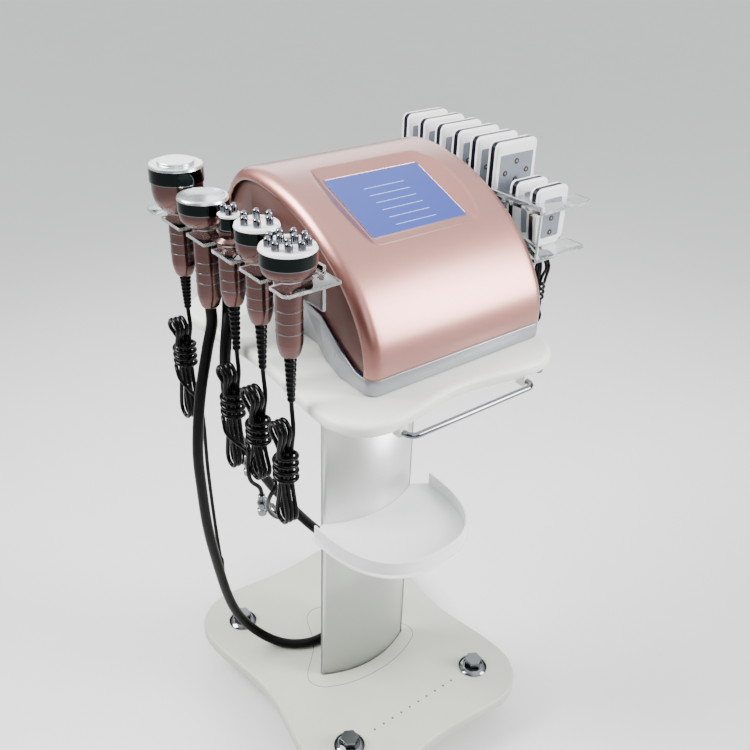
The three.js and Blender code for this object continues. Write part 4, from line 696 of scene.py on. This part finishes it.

# Handpieces: each has a turned aluminium body in rose anodising with three polished rings, a
# chrome band on top whose colour is painted nearly black, a painted reflection of a dark room,
# and its own face: a bolted disc, a suction cup or a disc with pins.
anodised, tree, shader, place = finish("rose_anodised_aluminium", {"Metallic": 1.0})
lathe = add(tree, "ShaderNodeMapping", {"Vector": place, "Scale": (1000 / 60, 1000 / 60, 1000 / 0.6)})
marks = add(tree, "ShaderNodeTexNoise", {"Vector": lathe.outputs["Vector"], "Scale": 1.0, "Detail": 2.0})
hue = add(tree, "ShaderNodeMix", {0: marks.outputs["Fac"], 6: linear("553F3D"), 7: linear("6C5350")},
          data_type="RGBA")
tree.links.new(hue.outputs[2], shader["Base Color"])
add(tree, "ShaderNodeMapRange", {"Value": marks.outputs["Fac"], "To Min": 0.18, "To Max": 0.28},
    into=shader["Roughness"])
# Pale contact face: bead-blasted stainless steel on the disc and cup, nearly white in the light.
blasted = surface("bead_blasted_stainless", {"Metallic": 0.85, "Base Color": linear("DCDEE0")},
                  {"Roughness": (0.7, 2, 0.2, 0.32)})
# Chrome band round each head, polished, its colour painted nearly black as a painted reflection
# of a dark room, so it shows light only where it mirrors a lamp.
painted_dark_chrome = surface("chromed_brass_with_painted_dark_reflection", {"Base Color": linear("1E2423"), "Metallic": 1.0},
                       {"Roughness": (8, 3, 0.05, 0.14)})

HAND_X = -222
HANDS = {
    "cavitation": {
        "y": 147, "bottom": 867, "band": 1012, "top": 1034, "head": 38.6, "face": 37.5, "rings": 38},
    "vacuum": {
        "y": 72, "bottom": 844, "band": 991, "top": 1009, "head": 35.6, "face": 34, "rings": 42},
    "three_pole": {
        "y": 2, "bottom": 875, "band": 985, "top": 1004, "head": 13, "face": 15, "rings": 26},
    "six_pole": {
        "y": -68, "bottom": 876, "band": 994, "top": 1013, "head": 29.5, "face": 28, "rings": 26},
    "twelve_pole": {
        "y": -138, "bottom": 858, "band": 987, "top": 1007, "head": 36.3, "face": 34.5, "rings": 37},
}
PINS = {"three_pole": ((3, 7.5),), "six_pole": ((6, 18),), "twelve_pole": ((9, 24.5), (3, 10))}
SEAT = 968.3
RINGS, RING_PITCH = 3, 15.5
for name, hand in HANDS.items():
    low, band, top, head, face = (hand[key] for key in ("bottom", "band", "top", "head", "face"))
    body = "handpiece_" + name
    spot = (HAND_X, hand["y"], 0)
    grip = flowing([(8.6, low, 0), (12.2, low + 3, 0), (14.9, low + 10, 0), (17, low + 20, 0),
                    (17.5, low + 28, 0)], 1.5)
    profile = [(0, low)] + [(p.x, p.y) for p in grip] + [(17.5, SEAT - 6), (16.8, SEAT - 0.6)]
    if head > 20:
        wide = head - (2 if name == "cavitation" else 1.5)
        flare = [(18.9 + (wide - 18.9) * out, SEAT + (band - SEAT) * up, 0) for up, out in (
            (0.1, 0.35), (0.25, 0.66), (0.45, 0.88), (0.7, 0.98))]
        cup = flowing([(20.9, SEAT, 0), *flare, (wide, band - 0.3, 0)], 1.2)
        profile += [(p.x, p.y) for p in cup]
    else:
        profile += [(20.6, SEAT), (21.5, SEAT + 1), (21.5, SEAT + 3), (20.5, SEAT + 4), (15.4, SEAT + 7),
                    (14.5, SEAT + 8), (14.5, band - 0.3)]
    bm = bmesh.new()
    turned(bm, profile + [(0, band - 0.3)], spot)
    for i in range(RINGS):
        ring = low + hand["rings"] + i * RING_PITCH
        turned(bm, [(17.3, ring), (17.9, ring + 0.3), (18, ring + 0.8), (17.9, ring + 1.3),
                    (17.3, ring + 1.6)], spot, coat=1)
    settle("body_" + name, bm, [anodised, chrome], body, ["handle_" + name], smooth=45)

    crown = top + 3
    bm = bmesh.new()
    turned(bm, [(0, band), (head - 1, band), (head, band + 0.8), (head, band + 2)], spot, steps=64)
    turned(bm, [(head, band + 2), (head, top - 1.2)], spot, steps=64, coat=3)
    turned(bm, [(head, top - 1.2), (head - 0.4, top), (face + 0.4, crown - 0.8), (face - 0.6, crown),
                (face - 3, crown)], spot, steps=64, coat=1 if name in ("cavitation", "vacuum") else 2)
    if name == "cavitation":
        turned(bm, [(face - 3, crown), (26.4, crown), (26, crown + 0.4), (26, crown + 3.4),
                    (25.4, crown + 4), (0, crown + 4)], spot, steps=64, coat=1)
    elif name == "vacuum":
        dish = flowing([(31, crown, 0), (27, crown - 2.6, 0), (20, crown - 5.6, 0), (10, crown - 6.8, 0),
                        (0, crown - 7, 0)], 2)
        turned(bm, [(p.x, p.y) for p in dish], spot, steps=64, coat=1)
    else:
        turned(bm, [(face - 3, crown), (0, crown)], spot, coat=2)
        for count, reach in PINS[name]:
            for i in range(count):
                angle = math.tau * i / count
                pin = (HAND_X + reach * math.cos(angle), hand["y"] + reach * math.sin(angle), crown)
                turned(bm, [(5, -1), (5, 7.6), (4.6, 9.6), (3.7, 11.2), (2.2, 12.2), (0, 12.5)], pin,
                       steps=20)
    settle("face_" + name, bm, [chrome, blasted, white_abs, painted_dark_chrome], body, ["head_" + name],
           smooth=40)

# Handpiece cords: black PVC leads of 6.4 mm, each from a ribbed strain relief down into a hank
# folded in three and wound with its own tail. Three end in chromed plugs, one in a moulded one.
pvc = surface("glossy_black_pvc", {"Base Color": linear("040405"), "IOR": 1.53, "Specular IOR Level": 0.12},
              {"Roughness": (14, 4, 0.12, 0.26)})
LOOP_END = 16
HALF_TURN = [math.pi * i / 8 for i in range(9)]


def hank(top, wrap_top, wrap_bottom, bottom, lobe, loops, turns, stack, waist, start, radius):
    """A folded and wound hank in (along, out, up), and how far out its tail hangs."""
    line = [(-lobe / 2, start / 2, top - LOOP_END)]
    for k in range(loops):
        out = start + k * stack
        line += [(-waist, out, wrap_top + radius * 2), (-waist, out, wrap_bottom - radius * 2)]
        line += [(lobe * math.cos(math.pi + a), out, bottom + LOOP_END + LOOP_END * math.sin(math.pi + a))
                 for a in HALF_TURN]
        line += [(waist, out, wrap_bottom - radius * 2), (waist, out, wrap_top + radius * 2)]
        line += [(lobe * math.cos(a), out + stack, top - LOOP_END + LOOP_END * math.sin(a))
                 for a in HALF_TURN]
    spread = (loops - 1) * stack / 2
    reach = math.hypot(waist, spread) + radius * 2 + 1.5
    first = math.pi - math.asin((spread + stack) / reach)
    total = turns * math.tau + math.pi / 2 - first
    for i in range(turns * 14 + 1):
        angle = first + total * i / (turns * 14)
        height = wrap_top + (wrap_bottom - wrap_top) * i / (turns * 14)
        line.append((reach * math.cos(angle), start + spread + reach * math.sin(angle), height))
    return line, start + spread + reach


CORDS = {
    "cavitation": {"relief": 814, "hank": (800, 758, 716, 625, 14), "length": 2.08, "tail": [
        (-10, 29, 704), (-21, 20, 686), (-23, 8, 665), (-22, 1.6, 639), (-22, -0.4, 521), (-22, -6.3, 391),
        (-22, -11.3, 319)]},
    "three_pole": {"relief": 806, "hank": (786, 742, 696, 612, 12), "length": 1.74, "tail": [
        (-6, 29, 680), (-26, 18, 664), (-29, 8, 652), (-29, 8, 645)]},
    "six_pole": {"relief": 808, "hank": (784, 732, 688, 633, 15), "length": 1.68, "tail": [
        (0, 30, 664), (0, 30, 640), (0, 24, 624), (-1, 15, 616), (-2, 12, 607), (-2, 12, 600)]},
    "twelve_pole": {"relief": 791, "hank": (766, 712, 666, 598, 13), "length": 1.82, "tail": [
        (4, 34, 650), (22, 30, 616), (36, 12, 582), (52, -10, 556), (64, -17, 547), (76, -17, 547)]},
}
CORD_RADIUS = 3.2
RIBS = 9
PLUG_TURNS = {"three_pole": math.pi, "six_pole": math.pi, "twelve_pole": -math.pi / 2}
for name, cord in CORDS.items():
    y, low = HANDS[name]["y"], HANDS[name]["bottom"]
    body = "handpiece_" + name
    folded, _ = hank(*cord["hank"], loops=3, turns=4, stack=7.4, waist=3.9, start=3.8, radius=CORD_RADIUS)
    stations = [(0, 0, low - 0.3), (0, 0, cord["relief"] - 3.2), *folded, *cord["tail"]]
    line = eased(flowing([(HAND_X - out, y + along, up) for along, out, up in stations], 2.5), 3)
    lead = tube("lead_" + name, line, CORD_RADIUS, pvc, body, ["cord_" + name])

    bm = bmesh.new()
    pitch = (low - 0.3 - cord["relief"]) / RIBS
    profile = [(CORD_RADIUS, cord["relief"])]
    for i in range(RIBS):
        foot = cord["relief"] + i * pitch
        wide = 5 + 3.2 * i / RIBS
        profile += [(wide - 0.4, foot + 0.2), (wide + 0.6, foot + pitch * 0.2),
                    (wide + 0.6, foot + pitch * 0.6), (wide - 0.9, foot + pitch * 0.75),
                    (wide - 0.9, foot + pitch * 0.95)]
    turned(bm, profile + [(8.4, low - 0.3), (0, low - 0.3)], (HAND_X, y, 0), 32)
    settle("relief_" + name, bm, [pvc], body, smooth=60)

    end = line[-1]
    bm = bmesh.new()
    if name in PLUG_TURNS:
        turned(bm, [(0, 0.3), (4.6, 0.3), (5.4, 1), (5.4, 10.6), (7, 12.6), (7, 17.6), (5.4, 19.4), (5.4, 25),
                    (7, 26), (7, 34.5), (6.2, 36.3), (3.8, 36.3), (3.6, 28.6), (0, 28.6)], steps=32)
        bmesh.ops.rotate(bm, verts=bm.verts, cent=(0, 0, 0), matrix=Matrix.Rotation(PLUG_TURNS[name], 3, "X"))
        move(bm, bm.verts, end)
        plug = settle("connector_" + name, bm, [chrome], body, ["plug_" + name],
                      edge=0.4, smooth=40)
    else:
        turned(bm, [(0, 6), (3.6, 6), (5, 2), (5.6, -2), (5.6, -30), (4.8, -33), (0, -34)], end, 32)
        plug = settle("connector_" + name, bm, [pvc], body, edge=0.5, smooth=40)

# Vacuum hose: smooth black rubber of 17 mm. It hangs from the second handpiece to the base, goes
# round behind the column and climbs in wide bends to the port in the rear panel.
hose_rubber = surface("extruded_black_rubber", {
    "Base Color": linear("050506"), "IOR": 1.52, "Specular IOR Level": 0.1},
    {"Roughness": (22, 4, 0.32, 0.5)})
HOSE_RADIUS = 8.5
y, low = HANDS["vacuum"]["y"], HANDS["vacuum"]["bottom"]
route = [
    (HAND_X, y, low - 0.3), (HAND_X, y, low - 25.8), (-232, 72, 780), (-251, 71, 700), (-262, 71, 610),
    (-260, 73, 530), (-252, 79, 440), (-231, 93, 330), (-213.3, 104.7, 254.8), (-197.4, 112.7, 203.7),
    (-182.5, 115.9, 167.4), (-167.8, 113.7, 140.2), (-153.1, 106.2, 119.7), (-138.4, 94.4, 105.5),
    (-123.6, 80.4, 97.4), (-108, 66.3, 94.3), (-91.1, 54.3, 94), (-72, 46, 94), (-50, 43, 94), (-15, 44, 96),
    (22, 47, 114), (47, 54, 149), (56, 60, 193), (46, 63, 238), (16, 63, 281), (-30, 61, 330), (-78, 60, 395),
    (-118, 59, 458), (-156, 57, 525), (-193, 52, 600), (-217, 45, 685), (-221, 41, 765), (-217, 42, 800),
    (-206, 53, 831), (-191, 78, 853), (-178, 113, 866), (-168, 155, 873), (-163, 198, 875), (-163, 235, 876),
    (-157.5, 261.5, 880), (-143, 284, 886), (-120.5, 298.5, 893), (-94, 304, 901), (-67.5, 298.5, 912),
    (-45, 284, 923), (-30.5, 261.5, 932), (-25, 234.3, 936.5), (-25, 200.3, 936.5)]
hose = tube("suction_hose", flowing(route, 4), HOSE_RADIUS, hose_rubber, ROOT, ["vacuum_hose"],
            ring=6)

# Pads: flat boxes of white ABS that clip together over a navy gasket. A grey panel on the front
# of each is drilled for its diodes, which sit in small brass cups. They stand in the comb.
gasket = surface("navy_gasket_abs", {
    "Base Color": linear("0B0918"), "IOR": 1.53, "Specular IOR Level": 0.15},
    {"Roughness": (10, 3, 0.25, 0.4)})
panel_grey, tree, shader, place = finish("brushed_grey_panel", {"Metallic": 0.3})
brush = add(tree, "ShaderNodeMapping", {"Vector": place, "Scale": (1000 / 40, 1000 / 40, 1000 / 0.8)})
streak = add(tree, "ShaderNodeTexNoise", {"Vector": brush.outputs["Vector"], "Scale": 1.0, "Detail": 2.0})
tone = add(tree, "ShaderNodeMix", {0: streak.outputs["Fac"], 6: linear("6E7481"), 7: linear("7C818A")},
           data_type="RGBA")
tree.links.new(tone.outputs[2], shader["Base Color"])
add(tree, "ShaderNodeMapRange", {"Value": streak.outputs["Fac"], "To Min": 0.35, "To Max": 0.5},
    into=shader["Roughness"])
brass = surface("turned_brass", {"Metallic": 1.0, "Base Color": linear("D9BE86")},
                {"Roughness": (1.2, 2, 0.2, 0.35)})

PAD_X = 291
PAD_FOOT = 884.3
LARGE_PADS, SMALL_PADS = 6, 2
FIRST_PAD_Y, PAD_PITCH = 208, 43


def pad_slab(bm, width, height, inset, y, depth, chamfer, round_front, coat):
    """A slab with cut lower corners and rounded upper ones, y being its front."""
    known = set(bm.verts)
    bmesh.ops.create_grid(bm, x_segments=1, y_segments=1, size=1)
    fresh = [v for v in bm.verts if v not in known]
    for v in fresh:
        up = inset + (height - 2 * inset) * (v.co.y + 1) / 2
        v.co = (PAD_X + v.co.x * (width / 2 - inset), y, PAD_FOOT + up)
    lower = [v for v in fresh if v.co.z < PAD_FOOT + height / 2]
    upper = [v for v in fresh if v.co.z > PAD_FOOT + height / 2]
    rounded(bm, lower, chamfer, 1, "VERTICES")
    rounded(bm, upper, 10, 6, "VERTICES")
    face = [f for f in bm.faces if all(v not in known for v in f.verts)]
    deep = bmesh.ops.extrude_face_region(bm, geom=face)["geom"]
    move(bm, deep, (0, depth, 0))
    bm.normal_update()
    fresh = [v for v in bm.verts if v not in known]
    outer = {e for v in fresh for e in v.link_edges if all(abs(w.co.y - y) < 0.01 for w in e.verts)}
    if round_front > 0:
        rounded(bm, list(outer), round_front, 4)
    for f in {f for v in bm.verts if v not in known for f in v.link_faces}:
        f.material_index = coat


for i in range(LARGE_PADS + SMALL_PADS):
    small = i >= LARGE_PADS
    width, height, chamfer = (68, 95, 13) if small else (91, 148, 12)
    y = FIRST_PAD_Y - PAD_PITCH * i
    name = f"small_pad_{i - LARGE_PADS + 1}" if small else f"large_pad_{i + 1}"
    bm = bmesh.new()
    pad_slab(bm, width, height, inset=0, y=y - 10, depth=6, chamfer=chamfer, round_front=3.5, coat=0)
    pad_slab(bm, width, height, inset=0.6, y=y - 4, depth=9, chamfer=chamfer, round_front=0, coat=1)
    pad_slab(bm, width, height, inset=0, y=y + 10, depth=-5, chamfer=chamfer, round_front=2.5, coat=0)
    bmesh.ops.remove_doubles(bm, verts=bm.verts, dist=0.001)
    settle(name + "_case", bm, [white_abs, gasket], name + "_body", [name],
           edge=0.5, smooth=40)

    bm = bmesh.new()
    wide, tall, margin = (40, 64, 17) if small else (74, 108, 20)
    middle = PAD_FOOT + height - margin - tall / 2
    bmesh.ops.create_cube(bm, size=1, matrix=Matrix.Translation((PAD_X, y - 10, middle))
                          @ Matrix.Diagonal((wide, 0.6, tall, 1)))
    upright = [e for e in bm.edges if abs(e.verts[0].co.y - e.verts[1].co.y) > 0.1]
    rounded(bm, upright, 3, 4)
    if small:
        spots = [(0, 22), (0, -1), (0, -24)]
    else:
        spots = [(0, 41), (-24, 24), (24, 24), (0, 11), (0, -11), (-24, -24), (24, -24), (0, -41)]
    for dx, dz in spots:
        cup = turned(bm, [(0, 0.4), (1.8, 0.5), (1.9, 1.1), (4.3, 1.1), (4.7, 0.2)], steps=24, coat=1)
        bmesh.ops.rotate(bm, verts=cup, cent=(0, 0, 0), matrix=Matrix.Rotation(math.pi / 2, 3, "X"))
        move(bm, cup, (PAD_X + dx, y - 10.2, middle + dz))
        for f in {f for v in cup for f in v.link_faces}:
            core = min(math.hypot(v.co.x - PAD_X - dx, v.co.z - middle - dz) for v in f.verts)
            f.material_index = 1 if core < 1.7 else 2
    settle(name + "_panel", bm, [panel_grey, brass, nylon], name + "_body", smooth=40)

# Small pads' cords: black leads of 5 mm that drop through the lower notches into hanks folded in
# two, and end in moulded connectors.
PAD_CORD_X = 286
PAD_CORD_RADIUS = 2.5
for i in range(SMALL_PADS):
    y = FIRST_PAD_Y - PAD_PITCH * (LARGE_PADS + i)
    folded, tail = hank(858, 818, 782, 742, 14 - 3 * i, loops=2, turns=4, stack=6, waist=3.1, start=3,
                        radius=PAD_CORD_RADIUS)
    stations = [(0, 0, 884), (0, 0, 874), *folded, (0, tail, 768), (1, tail - 1, 744), (2, tail - 2, 728)]
    line = eased(flowing([(PAD_CORD_X + out, y + along, up) for along, out, up in stations], 2), 3)
    body = f"small_pad_{i + 1}_body"
    lead = tube(f"lead_small_pad_{i + 1}", line, PAD_CORD_RADIUS, pvc, body, [f"cord_small_pad_{i + 1}"])
    bm = bmesh.new()
    turned(bm, [(0, 2), (2.6, 2), (4, 0), (4.5, -2), (4.5, -13), (3.8, -15), (0, -15)], line[-1], 24)
    end = settle(f"end_small_pad_{i + 1}", bm, [pvc], body, smooth=60)
